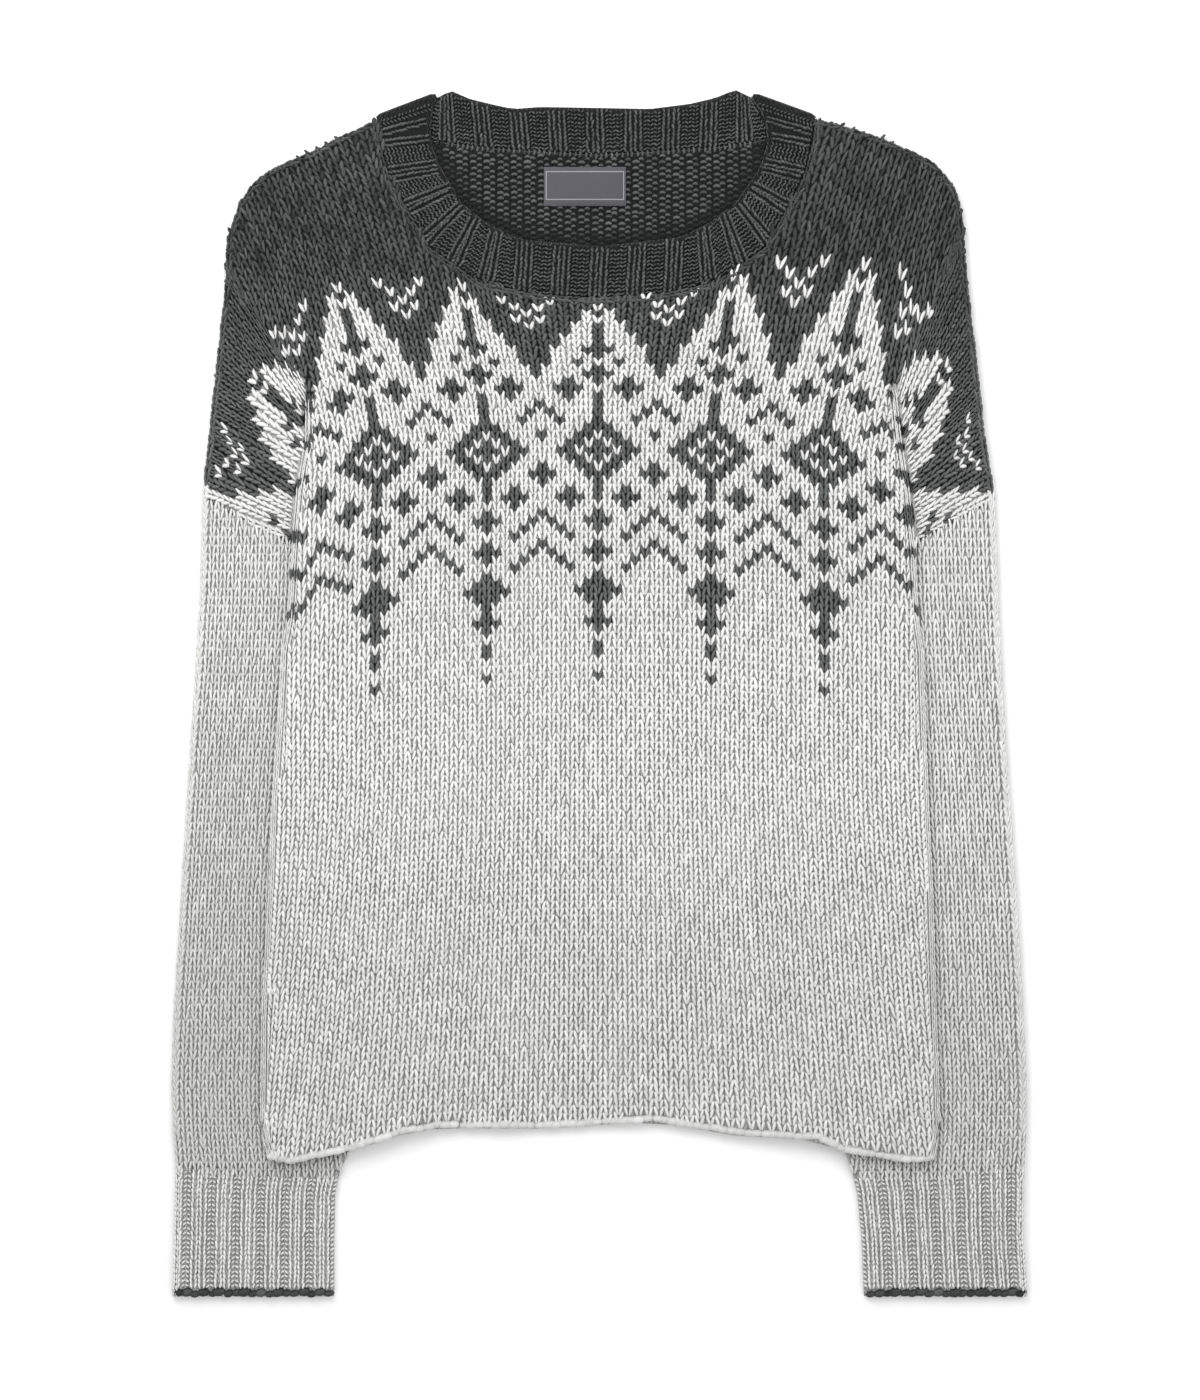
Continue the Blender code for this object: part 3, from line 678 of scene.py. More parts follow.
@dataclass
class Strand:
    """A short length of yarn that shows on the cloth's face, modelled once and copied.

    Its coordinates are wales across, rows along and millimetres high.
    """

    name: str
    route: tuple            # rows of (along, across, high, half_width, half_height)
    vertices: np.ndarray = None
    faces: list = field(default_factory=list)
    uvs: np.ndarray = None
    # painted shade of each corner: lighter on the crown, darker at the foot and the ends
    painted_shades: np.ndarray = None

    def model(self) -> "Strand":
        """Model the strand from a cylinder that is bisected into rings and pulled to shape.

        Returns:
            The strand itself, with its mesh data read.
        """
        deselect()
        bpy.ops.mesh.primitive_cylinder_add(vertices=4, radius=1.0, depth=2.0,
                                            end_fill_type="TRIFAN")
        piece = bpy.context.active_object
        bpy.ops.object.mode_set(mode="EDIT")
        rings = len(self.route) - 2
        for cut in range(1, rings - 1):
            bpy.ops.mesh.select_all(action="SELECT")
            level = -1.0 + 2.0 * cut / (rings - 1)
            bpy.ops.mesh.bisect(plane_co=(0.0, 0.0, level), plane_no=(0.0, 0.0, 1.0))
        bpy.ops.mesh.select_all(action="SELECT")
        bpy.ops.mesh.normals_make_consistent(inside=False)
        bpy.ops.object.mode_set(mode="OBJECT")
        shaped, uvs, painted_shades = [], [], []
        for vertex in piece.data.vertices:
            x, y, z = vertex.co
            if math.hypot(x, y) < 0.5:
                along, across, high, _, _ = self.route[0 if z < 0 else -1]
                shaped.append((across, along, high))
                uvs.append((0.0, 2.0 * along))
                painted_shades.append(STRAND_END_PAINTED_SHADE)
                continue
            station = 1 + round((z + 1.0) * 0.5 * (rings - 1))
            along, across, high, half_width, half_height = self.route[station]
            turn = math.atan2(y, x) + math.pi / 4
            side = math.copysign(1.0, math.cos(turn))
            wide, tall, shade = STRAND_CROWN if math.sin(turn) > 0 else STRAND_FOOT
            shaped.append((across + wide * half_width * side, along, high + tall * half_height))
            uvs.append((turn / (2.0 * math.pi), 2.0 * along))
            painted_shades.append(shade)
        self.vertices, self.uvs, self.painted_shades = np.array(shaped), np.array(uvs), np.array(painted_shades)
        self.faces = [tuple(face.vertices) for face in piece.data.polygons]
        mesh = piece.data
        bpy.data.objects.remove(piece)
        bpy.data.meshes.remove(mesh)
        return self


def strand_copies(name: str, strands: tuple, stitches: Stitches, wool: Wool, seed: int,
                  loose: float = 0.05, tone: float | np.ndarray = 0.24,
                  proud: float = 0.0) -> bpy.types.Object:
    """Lay copies of one or more strands at every stitch and join them in one mesh.

    Args:
        name: the new piece's name.
        strands: the strands that make one stitch.
        stitches: where the stitches lie.
        wool: the yarn's finish.
        seed: start of the draws that make the stitches uneven.
        loose: how uneven the stitches are, as a share of their size.
        tone: how light they are, from the wool's hollow to its crown; one for all or each. Each
            strand's painted shade is added to it.
        proud: how far they stand above the others, in millimetres.

    Returns:
        The joined piece.
    """
    draw = np.random.default_rng(seed)
    points, across, along, normals = (np.array(part)[:, None, :] for part in (
        stitches.points, stitches.across, stitches.along, stitches.normals))
    count, offset = len(points), 0
    all_vertices, all_faces, all_uvs, all_tones = [], [], [], []
    for strand in strands:
        corners = len(strand.vertices)
        local = strand.vertices[None, :, :]
        size = 1.0 + loose * draw.standard_normal((count, 1))
        shift = loose * draw.standard_normal((count, 2))
        rise = 1.0 + 2.0 * loose * draw.standard_normal((count, 1))
        u = local[:, :, 0] * size + shift[:, :1] * 0.6
        v = local[:, :, 1] * size + shift[:, 1:]
        h = (local[:, :, 2] * rise + proud) * MM
        placed = points + u[:, :, None] * across + v[:, :, None] * along + h[:, :, None] * normals
        all_vertices.append(placed.reshape(-1, 3))
        starts = np.repeat(draw.uniform(0.0, 40.0, (count, 2)), corners, axis=0)
        all_uvs.append(np.tile(strand.uvs, (count, 1)) + starts)
        # painted shade: each corner's tone is the stitch's own tone plus its strand's painted shade
        uneven = tone + UNEVEN_TONE * draw.standard_normal(count)
        all_tones.append((uneven[:, None] + wool.relief_shade * strand.painted_shades[None, :]).reshape(-1))
        first = offset + corners * np.arange(count)
        all_faces.extend(first[:, None] + np.array(face)[None, :] for face in strand.faces)
        offset += corners * count
    return mesh_from_arrays(name, np.concatenate(all_vertices), all_faces,
                            np.concatenate(all_uvs), np.concatenate(all_tones), wool)


def mesh_from_arrays(name: str, vertices: np.ndarray, face_groups: list, uvs: np.ndarray,
                     tones: np.ndarray, wool: Wool) -> bpy.types.Object:
    """Make one smooth mesh from arrays of corners and faces.

    Args:
        name: the piece's name.
        vertices: all corners.
        face_groups: arrays of faces, each with one number of corners.
        uvs: strand coordinates of each corner.
        tones: tone of each corner, its painted shade included.
        wool: the finish.

    Returns:
        The piece, linked to the scene.
    """
    loops = np.concatenate([group.reshape(-1) for group in face_groups]).astype(np.int32)
    sizes = np.concatenate([np.full(len(group), group.shape[1]) for group in face_groups])
    starts = np.concatenate(([0], np.cumsum(sizes)[:-1])).astype(np.int32)
    mesh = bpy.data.meshes.new(name)
    mesh.vertices.add(len(vertices))
    mesh.vertices.foreach_set("co", vertices.astype(np.float32).reshape(-1))
    mesh.loops.add(len(loops))
    mesh.loops.foreach_set("vertex_index", loops)
    mesh.polygons.add(len(sizes))
    mesh.polygons.foreach_set("loop_start", starts)
    mesh.polygons.foreach_set("use_smooth", np.ones(len(sizes), dtype=bool))
    mesh.uv_layers.new(name="strand")
    mesh.update(calc_edges=True)
    mesh.uv_layers["strand"].data.foreach_set("uv", uvs[loops].astype(np.float32).reshape(-1))
    tone = mesh.attributes.new("tone", "FLOAT", "POINT")
    tone.data.foreach_set("value", tones.astype(np.float32))
    mesh.materials.append(wool.material())
    piece = bpy.data.objects.new(name, mesh)
    link(piece)
    return piece


#                along  across high  half_width half_height
LEG_ROUTE = ((-0.90, 0.085, -0.15, 0.0, 0.0),
             (-0.56, 0.125, 0.36, 0.165, 1.15),
             (0.00, 0.230, 0.62, 0.210, 1.35),
             (0.52, 0.345, 0.28, 0.190, 1.10),
             (0.86, 0.375, -0.40, 0.0, 0.0))
#                along  across high  half_width half_height; in a rib the legs stand upright
RIB_ROUTE = ((-0.74, 0.200, -0.25, 0.0, 0.0),
             (-0.44, 0.240, 0.28, 0.135, 1.05),
             (0.03, 0.295, 0.60, 0.185, 1.35),
             (0.47, 0.350, 0.10, 0.145, 0.95),
             (0.72, 0.365, -0.40, 0.0, 0.0))


def mirrored(route: tuple) -> tuple:
    """A strand's route on the other side of its wale."""
    return tuple((along, -across, high, wide, tall) for along, across, high, wide, tall in route)


#               across along  high  half_width half_height; a purl bump runs across its wale
PURL_ROUTE = ((-0.54, -0.10, -0.3, 0.0, 0.0),
              (-0.36, 0.00, 0.25, 0.26, 0.9),
              (0.0, 0.10, 0.50, 0.30, 1.15),
              (0.36, 0.00, 0.25, 0.26, 0.9),
              (0.54, -0.10, -0.3, 0.0, 0.0))
#              across along  high  half_width half_height; a grain of purl deep between ribs
RICE_ROUTE = ((-0.56, -0.04, -0.3, 0.0, 0.0),
              (-0.34, -0.02, 0.25, 0.23, 0.9),
              (0.0, 0.02, 0.50, 0.27, 1.15),
              (0.34, 0.02, 0.25, 0.23, 0.9),
              (0.56, 0.0, -0.3, 0.0, 0.0))
#               along  across high  half_width half_height; a lump of a cast-on edge
LUMP_ROUTE = ((-0.72, 0.06, -0.5, 0.0, 0.0),
              (-0.44, 0.05, 0.15, 0.36, 1.1),
              (0.0, 0.0, 0.45, 0.46, 1.5),
              (0.44, -0.05, 0.15, 0.36, 1.1),
              (0.72, -0.06, -0.5, 0.0, 0.0))
#               along  across high  half_width half_height; a turn of the hem's soft roll
ROLL_ROUTE = ((-0.82, 0.04, -0.3, 0.0, 0.0),
              (-0.56, 0.03, 0.25, 0.42, 1.35),
              (0.0, 0.0, 0.36, 0.46, 1.45),
              (0.56, -0.03, 0.25, 0.42, 1.35),
              (0.82, -0.04, -0.3, 0.0, 0.0))


def purl_bump(name: str, route: tuple) -> Strand:
    """The bump of a purled stitch, a short arc of yarn that lies across its wale.

    Args:
        name: the strand's name.
        route: its route, with across and along swapped.

    Returns:
        The modelled strand.
    """
    made = Strand(name, route).model()
    made.vertices = made.vertices[:, [1, 0, 2]]
    made.faces = [face[::-1] for face in made.faces]
    return made


# ---------------------------------------------------------------- cloth


@dataclass
class Crease:
    """A soft trough or ridge of the cloth, placed one by one."""

    start: tuple
    end: tuple
    half_width: float
    depth: float

    def height(self, x: np.ndarray, y: np.ndarray) -> np.ndarray:
        """Rise of the cloth at places given in millimetres; a trough has a negative depth.

        Args:
            x: the places.
            y: the places.

        Returns:
            The rise at each place, in millimetres.
        """
        ax, ay = self.start
        bx, by = self.end
        length = math.hypot(bx - ax, by - ay)
        ux, uy = (bx - ax) / length, (by - ay) / length
        along = (x - ax) * ux + (y - ay) * uy
        away = np.abs((x - ax) * uy - (y - ay) * ux)
        ends = ease(along / (0.35 * length)) * ease((length - along) / (0.35 * length))
        return self.depth * ends * (1.0 - ease(away / self.half_width))


@dataclass
class Cloth:
    """A thin shell on a solid's form, with its own creases, under the stitches."""

    node: str
    slot: str
    finest: float = 9.0         # longest edge of its face, in millimetres
    yoke_finest: float = 0.0    # the same where the yoke's pattern lies, if it has one
    yoke: tuple = (CHART_FOOT_Y - 12.0, 262.0)
    outside: float = 1.0        # -1 for a panel whose outer face, with the pattern, lies below
    sink: float = 0.9
    creases: tuple = ()
    neighbours: tuple = ()      # cloths that its stitches may run on over
    beside: tuple = ()          # cloths that only the tips of its stitches may reach
    join: float = 0.9           # how far off the cloth a stitch over a join may look for it
    shell: bpy.types.Object = None
    tree: BVHTree = None

    def make(self) -> "Cloth":
        """Copy the solid's skin, divide it, lower its face and lay the creases in.

        Returns:
            The cloth itself.
        """
        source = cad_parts[self.node]
        mesh = source.data.copy()
        mesh.name = f"{self.node}_cloth"
        self.shell = bpy.data.objects.new(mesh.name, mesh)
        link(self.shell)
        skin = bmesh.new()
        skin.from_mesh(mesh)
        bmesh.ops.remove_doubles(skin, verts=skin.verts, dist=0.02 * MM)
        self.divide(skin)
        skin.to_mesh(mesh)
        skin.free()
        self.settle()
        mesh.shade_smooth()
        self.shell.matrix_world.identity()
        self.refresh()
        return self

    def divide(self, skin: bmesh.types.BMesh) -> None:
        """Cut the long edges of the faces that lie flat until all are short enough.

        Args:
            skin: the shell's mesh.
        """
        for _ in range(9):
            bmesh.ops.triangulate(skin, faces=[f for f in skin.faces if len(f.verts) > 3])
            skin.normal_update()
            long_edges = set()
            for face in skin.faces:
                out = face.normal.z * self.outside
                if out < 0.3 and face.normal.z < 0.3:
                    continue
                centre = face.calc_center_median() / MM
                in_yoke = out > 0.3 and self.yoke[0] < centre.y < self.yoke[1]
                limit = (self.yoke_finest or self.finest if in_yoke else self.finest) * MM
                long_edges.update(edge for edge in face.edges if edge.calc_length() > limit)
            if not long_edges:
                break
            bmesh.ops.subdivide_edges(skin, edges=list(long_edges), cuts=1)

    def settle(self) -> None:
        """Lower the face by the stitches' depth and add the creases."""
        mesh = self.shell.data
        mesh.update()
        places = np.zeros(len(mesh.vertices) * 3)
        mesh.vertices.foreach_get("co", places)
        places = places.reshape(-1, 3)
        normals = np.zeros(len(mesh.vertices) * 3)
        mesh.vertices.foreach_get("normal", normals)
        upward = np.clip(normals.reshape(-1, 3)[:, 2] * 1.6, 0.0, 1.0)
        rise = np.zeros(len(places))
        for crease in self.creases:
            rise += crease.height(places[:, 0] / MM, places[:, 1] / MM)
        places[:, 2] += upward * (rise - self.sink) * MM
        mesh.vertices.foreach_set("co", places.reshape(-1))
        mesh.update()

    def refresh(self) -> None:
        """Read the shell's form for placing stitches on it."""
        skin = bmesh.new()
        skin.from_mesh(self.shell.data)
        self.tree = BVHTree.FromBMesh(skin)
        skin.free()

    def drop(self, x: float, y: float, top: float = 0.05) -> tuple:
        """The cloth's face below a place.

        Args:
            x: the place, in millimetres.
            y: the place, in millimetres.
            top: height to look down from, in metres.

        Returns:
            The point and the normal there, or (None, None) beside the cloth.
        """
        for shift in (0.0, self.join, -self.join) if self.neighbours else (0.0,):
            for cloth in (self, *self.neighbours):
                point, normal, _, _ = cloth.tree.ray_cast(
                    Vector((x * MM, (y + shift) * MM, top)), Vector((0.0, 0.0, -1.0)))
                if point is not None:
                    point.y -= shift * MM
                    return point, normal
        return None, None

    def dye(self, stitches: Stitches, default: float) -> None:
        """Colour the cloth by the yarn of the stitches on it.

        Args:
            stitches: the stitches whose yarn it follows; with none it takes the default.
            default: 0 for the light yarn, 1 for the dark one.
        """
        mesh = self.shell.data
        shade = mesh.attributes.new("dark", "FLOAT", "POINT")
        values = np.full(len(mesh.vertices), default, dtype=np.float32)
        if len(stitches):
            tree = tree_of(stitches)
            for number, vertex in enumerate(mesh.vertices):
                _, nearest, _ = tree.find(Vector((vertex.co.x, vertex.co.y, 0.0)))
                values[number] = stitches.yarns[nearest]
        shade.data.foreach_set("value", values)

    def dress(self, stitches: Stitches, default: float = 0.0) -> None:
        """Colour the shell, let it stand for its node and ride with the garment.

        Args:
            stitches: the stitches on it.
            default: its yarn where there are none.
        """
        self.dye(stitches, default)
        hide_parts(self.node)
        finish_piece(self.shell)
        self.shell.data.materials.clear()
        self.shell.data.materials.append(PAINTED_SHADE_GROUND.material())

    def put(self, made: Stitches, spot: np.ndarray, across: np.ndarray, along: np.ndarray,
            yarn: Ply, upright: float = 0.6) -> None:
        """Set one stitch down on the cloth; one that would reach past an edge is shortened.

        Args:
            made: takes the stitch.
            spot: its middle, x and y in millimetres.
            across: one wale's width as a vector in millimetres.
            along: one row's height as a vector in millimetres.
            yarn: its yarn.
            upright: how much the stitch stands up where the cloth slopes.
        """
        tips = [any(cloth.drop(*tip)[0] is not None for cloth in (self, *self.beside))
                for tip in (spot + 0.55 * along, spot - 0.45 * along)]
        if not all(tips):
            if not any(tips):
                return
            spot = spot + (0.25 if tips[0] else -0.25) * along
            along = 0.55 * along
        point, normal = self.drop(*spot)
        if point is None or (normal.z < 0.05 and not self.neighbours):
            return
        if normal.z < 0.4 and self.neighbours:
            around = [self.drop(*(spot + step * along))[0] for step in (-0.4, 0.4)]
            point.z = max([point.z] + [place.z for place in around if place is not None])
            normal = Vector((0.0, 0.0, 1.0))
        soft = np.array(normal) + np.array((0.0, 0.0, upright))
        soft /= np.linalg.norm(soft)
        side = np.array((*across, 0.0)) * MM
        ahead = np.array((*along, 0.0)) * MM
        side -= soft * side.dot(soft)
        ahead -= soft * ahead.dot(soft)
        if np.cross(side, ahead).dot(soft) < 0.0:
            side = -side
        made.add(np.array(point), side, ahead, soft, yarn)

    def lay(self, place, wales: np.ndarray, rows: np.ndarray, keep, yarn,
            widest: float = 20.0) -> Stitches:
        """Work a grid of stitches onto the cloth.

        Args:
            place: place(wale, row) gives x and y in millimetres, for arrays.
            wales: the wales to work.
            rows: the rows to work.
            keep: keep(x, y) says which of them show.
            yarn: yarn(wale, row) gives each one's yarn.
            widest: above this width, in millimetres, a dark wale is worked as two.

        Returns:
            The stitches that lie on the cloth.
        """
        grid_w, grid_r = (part.reshape(-1) for part in np.meshgrid(wales, rows, indexing="ij"))
        middle, left, right, below, above = (
            np.column_stack(place(grid_w + side, grid_r + up))
            for side, up in ((0.0, 0.0), (-0.5, 0.0), (0.5, 0.0), (0.0, -0.5), (0.0, 0.5)))
        made = Stitches()
        for number in np.nonzero(keep(middle[:, 0], middle[:, 1]))[0]:
            across = right[number] - left[number]
            ply = yarn(int(round(grid_w[number])), int(round(grid_r[number])))
            wide = np.linalg.norm(across) > widest and ply is Ply.DARK
            split = (-0.25, 0.25) if wide else (0.0,)
            for aside in split:
                self.put(made, middle[number] + aside * across, across / len(split),
                         above[number] - below[number], ply)
        return made

    def rim(self, line: np.ndarray, inside: np.ndarray, pitch: float, inset: float,
            wide: float, known: Stitches = None) -> Stitches:
        """Work a line of stitches that wrap over an edge.

        Args:
            line: the edge, in millimetres.
            inside: a place on the cloth's side of it.
            pitch: length of one stitch along the edge.
            inset: how far in from the edge they lie.
            wide: their width across it.
            known: stitches whose yarn they take; light yarn without.

        Returns:
            The stitches.
        """
        count = max(int(run_of(line)[-1] / pitch), 1)
        middles = sample(line, (np.arange(count) + 0.5) / count)
        steps = (sample(line, (np.arange(count) + 0.75) / count)
                 - sample(line, (np.arange(count) + 0.25) / count)) * 2.0
        tree = tree_of(known) if known else None
        made = Stitches()
        for middle, step in zip(middles, steps):
            inward = np.array((-step[1], step[0])) / np.linalg.norm(step)
            inward *= math.copysign(1.0, inward.dot(inside - middle))
            point, _ = self.drop(*(middle + inward * inset))
            if point is None:
                point, _ = self.drop(*(middle + inward * (inset + 1.6)))
            if point is None:
                continue
            yarn = Ply.LIGHT
            if tree:
                yarn = Ply(int(known.yarns[tree.find(Vector((point.x, point.y, 0.0)))[1]]))
            soft = np.array((*(-inward * 0.55), 1.0))
            soft /= np.linalg.norm(soft)
            ahead = np.array((*step, 0.0)) * MM
            side = np.cross(ahead, soft)
            side *= wide * MM / np.linalg.norm(side)
            made.add(np.array(point), side, ahead, soft, yarn)
        return made


def tree_of(stitches: Stitches) -> KDTree:
    """A search tree of stitches, seen from above.

    Args:
        stitches: the stitches.

    Returns:
        The tree, in metres, with every z at 0.
    """
    tree = KDTree(len(stitches))
    for number, point in enumerate(stitches.points):
        tree.insert(Vector((point[0], point[1], 0.0)), number)
    tree.balance()
    return tree


def finish_piece(piece: bpy.types.Object) -> None:
    """Let a piece ride with the garment."""
    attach(piece, BODY)


@dataclass
class Sewn:
    """A sheet of cloth and the knitted pieces on it."""

    cloth: Cloth = None
    pieces: list = field(default_factory=list)

    def add(self, name: str, strands: tuple, stitches: Stitches, wool: Wool, seed: int,
            **finish) -> None:
        """Knit one piece onto the cloth.

        Args:
            name: the piece's name.
            strands: the strands that make one stitch.
            stitches: where the stitches lie.
            wool: the yarn's finish.
            seed: start of its random draws.
            finish: loose, tone and proud, as in strand_copies.
        """
        piece = strand_copies(name, strands, stitches, wool, seed, **finish)
        finish_piece(piece)
        self.pieces.append(piece)


def rib_columns(numbers: range, start: float, rib_share: float, hollows: tuple,
                hollow_width: float, grain_slant: float) -> list:
    """Columns of a ribbing: two wales to each rib and columns of purl between the ribs.

    Args:
        numbers: the ribs' numbers.
        start: place of the middle of rib 0.
        rib_share: how far a rib's wales lie from its middle.
        hollows: places of the columns of purl, from a rib's middle.
        hollow_width: their width.
        grain_slant: how steeply their grains lie, one way and the other.

    Returns:
        Rows of place and width, in ribs, whether it is knit, and slant.
    """
    columns = []
    for number in numbers:
        for offset in (-rib_share, rib_share):
            columns.append((number + start + offset, 2.0 * rib_share, True, 0.0))
        for count, offset in enumerate(hollows):
            slant = grain_slant * (1.0 - 2.0 * (count % 2))
            columns.append((number + start + offset, hollow_width, False, slant))
    return columns


# ---------------------------------------------------------------- panels


BODY_WALES = np.arange(-LAST_WALE, LAST_WALE + 1, dtype=float)
BODY_ROWS = np.arange(-68, 80, dtype=float)


def by_side(table: tuple, level: np.ndarray, right: np.ndarray) -> np.ndarray:
    """A value from a rising table of level, value where right is true, and value elsewhere."""
    rows = np.array(table)
    return np.where(right, np.interp(level, rows[:, 0], rows[:, 1]),
                    np.interp(level, rows[:, 0], rows[:, 2]))


def body_place(wale: np.ndarray, row: np.ndarray) -> tuple:
    """x and y of stitches of the body, in millimetres; its wales fan out above the chest.

    Args:
        wale: their wales, 0 in the middle and negative at -X.
        row: their rows above the chart's foot.

    Returns:
        x and y of each, seen from above.
    """
    out, right = np.abs(wale), wale < 0
    sag = ROW_SAG * (wale / SAG_WALES) ** 2
    pitch = np.where(row > 0, YOKE_ROW, PLAIN_ROW)
    y = CHART_FOOT_Y + pitch * row - sag * np.clip(1.0 - row / CHART_ROWS, 0.0, 1.0)
    y = y - LOW_ROW_GROWS * np.clip(-row - LOW_FROM_ROW, 0.0, None) ** 2
    fan = (np.clip(y - FAN_FROM_Y, 0.0, None) / FAN_RUN) ** FAN_POWER
    spread = 1.0 + by_side(FAN_BY_WALE, out, right) * fan
    drawn = DRAWN_IN * np.clip(-wale / (2 * REPEAT), 0.0, 1.0)
    drawn = drawn * np.exp(-((y - DRAWN_Y) / DRAWN_RUN) ** 2) + np.where(right, CLOSER, 0.0)
    lower = LOW_SPREAD * (np.clip(LOW_FROM_Y - y, 0.0, None) / LOW_RUN) ** LOW_POWER
    x = CENTRE_X + WALE * wale * (spread - drawn + lower)
    y = y + by_side(LIFT, out, right) * np.clip(row - LIFT_FROM_ROW, 0.0, None) / 10.0
    far = (np.clip(out - DROOP_FROM_WALE, 0.0, None) / 6.0) ** DROOP_POWER
    y = y - far * by_side(DROOP, row, right)
    x = x - np.sign(wale) * far * DROOP_INWARD * np.clip((row - 33.0) / 14.0, 0.0, 1.5)
    packed = NECK_PACKED * (1.0 - ease((np.abs(x) - NECK_HALF) / NECK_BLEND))
    return x, y - packed * np.clip(y - NECK_FROM_Y, 0.0, None)


@dataclass
class ArmMap:
    """Wales of an upper arm, which turn from the crease at the side to the armhole seam."""

    side: Side
    starts: np.ndarray = None
    ends: np.ndarray = None

    def __post_init__(self) -> None:
        """Work out where each wale leaves the crease and meets the outer edge."""
        wales = CHEST_WALES + np.arange(ARM_WALES + 1.0)
        inner_y = self.level(ARM_CREASE, wales)
        outer_y = self.level(ARM_OUT, wales)
        inner_x = side_x(BODY_SIDE, self.side, inner_y) + 2.0 * self.side.value
        outer_x = side_x(ARM_EDGE, self.side, outer_y)
        self.starts = np.column_stack((inner_x, inner_y))
        self.ends = np.column_stack((outer_x, outer_y))

    def top_line(self, x: np.ndarray) -> tuple:
        """Where the arm's wales take over from the chest's: x of the crease, and y at each x."""
        start, end = 0.5 * (self.starts[0] + self.starts[1]), self.ends[2]
        return start[0], start[1] + (x - start[0]) * (end[1] - start[1]) / (end[0] - start[0])

    def level(self, table: tuple, wales: np.ndarray) -> np.ndarray:
        """A value of this side by wale, from a table of wale, at -X, at +X."""
        rows = np.array(table)
        return np.interp(wales, rows[:, 0], rows[:, self.side.column])

    def __call__(self, wale: np.ndarray, row: np.ndarray) -> tuple:
        """x and y of stitches, by their wale's number out from the chest and their row.

        Args:
            wale: their wales, negative at -X.
            row: their rows.

        Returns:
            x and y, in millimetres.
        """
        number = np.clip(np.abs(wale) - CHEST_WALES, -0.5, ARM_WALES + 0.5)
        index = np.arange(ARM_WALES + 1)
        start, end = (np.column_stack([self.stretch(number, index, line[:, axis])
                                       for axis in (0, 1)])
                      for line in (self.starts, self.ends))
        length = np.linalg.norm(end - start, axis=1)
        travel = (row - self.level(ARM_FIRST_ROW, np.abs(wale))) * YOKE_ROW
        rounded = np.clip(travel - (length - ARM_EDGE_RUN), 0.0, None)
        travel = travel - rounded * (1.0 - ARM_EDGE_ROW[self.side.column - 1])
        place = start + (end - start) * (travel / length)[:, None]
        return place[:, 0], place[:, 1]

    @staticmethod
    def stretch(number: np.ndarray, index: np.ndarray, values: np.ndarray) -> np.ndarray:
        """Interpolate a table and carry its ends on in a straight line.

        Args:
            number: the places to look up.
            index: the table's places.
            values: its values there.

        Returns:
            A value at each place.
        """
        inside = np.interp(number, index, values)
        before = values[0] + (number - index[0]) * (values[1] - values[0])
        after = values[-1] + (number - index[-1]) * (values[-1] - values[-2])
        return np.where(number < index[0], before, np.where(number > index[-1], after, inside))


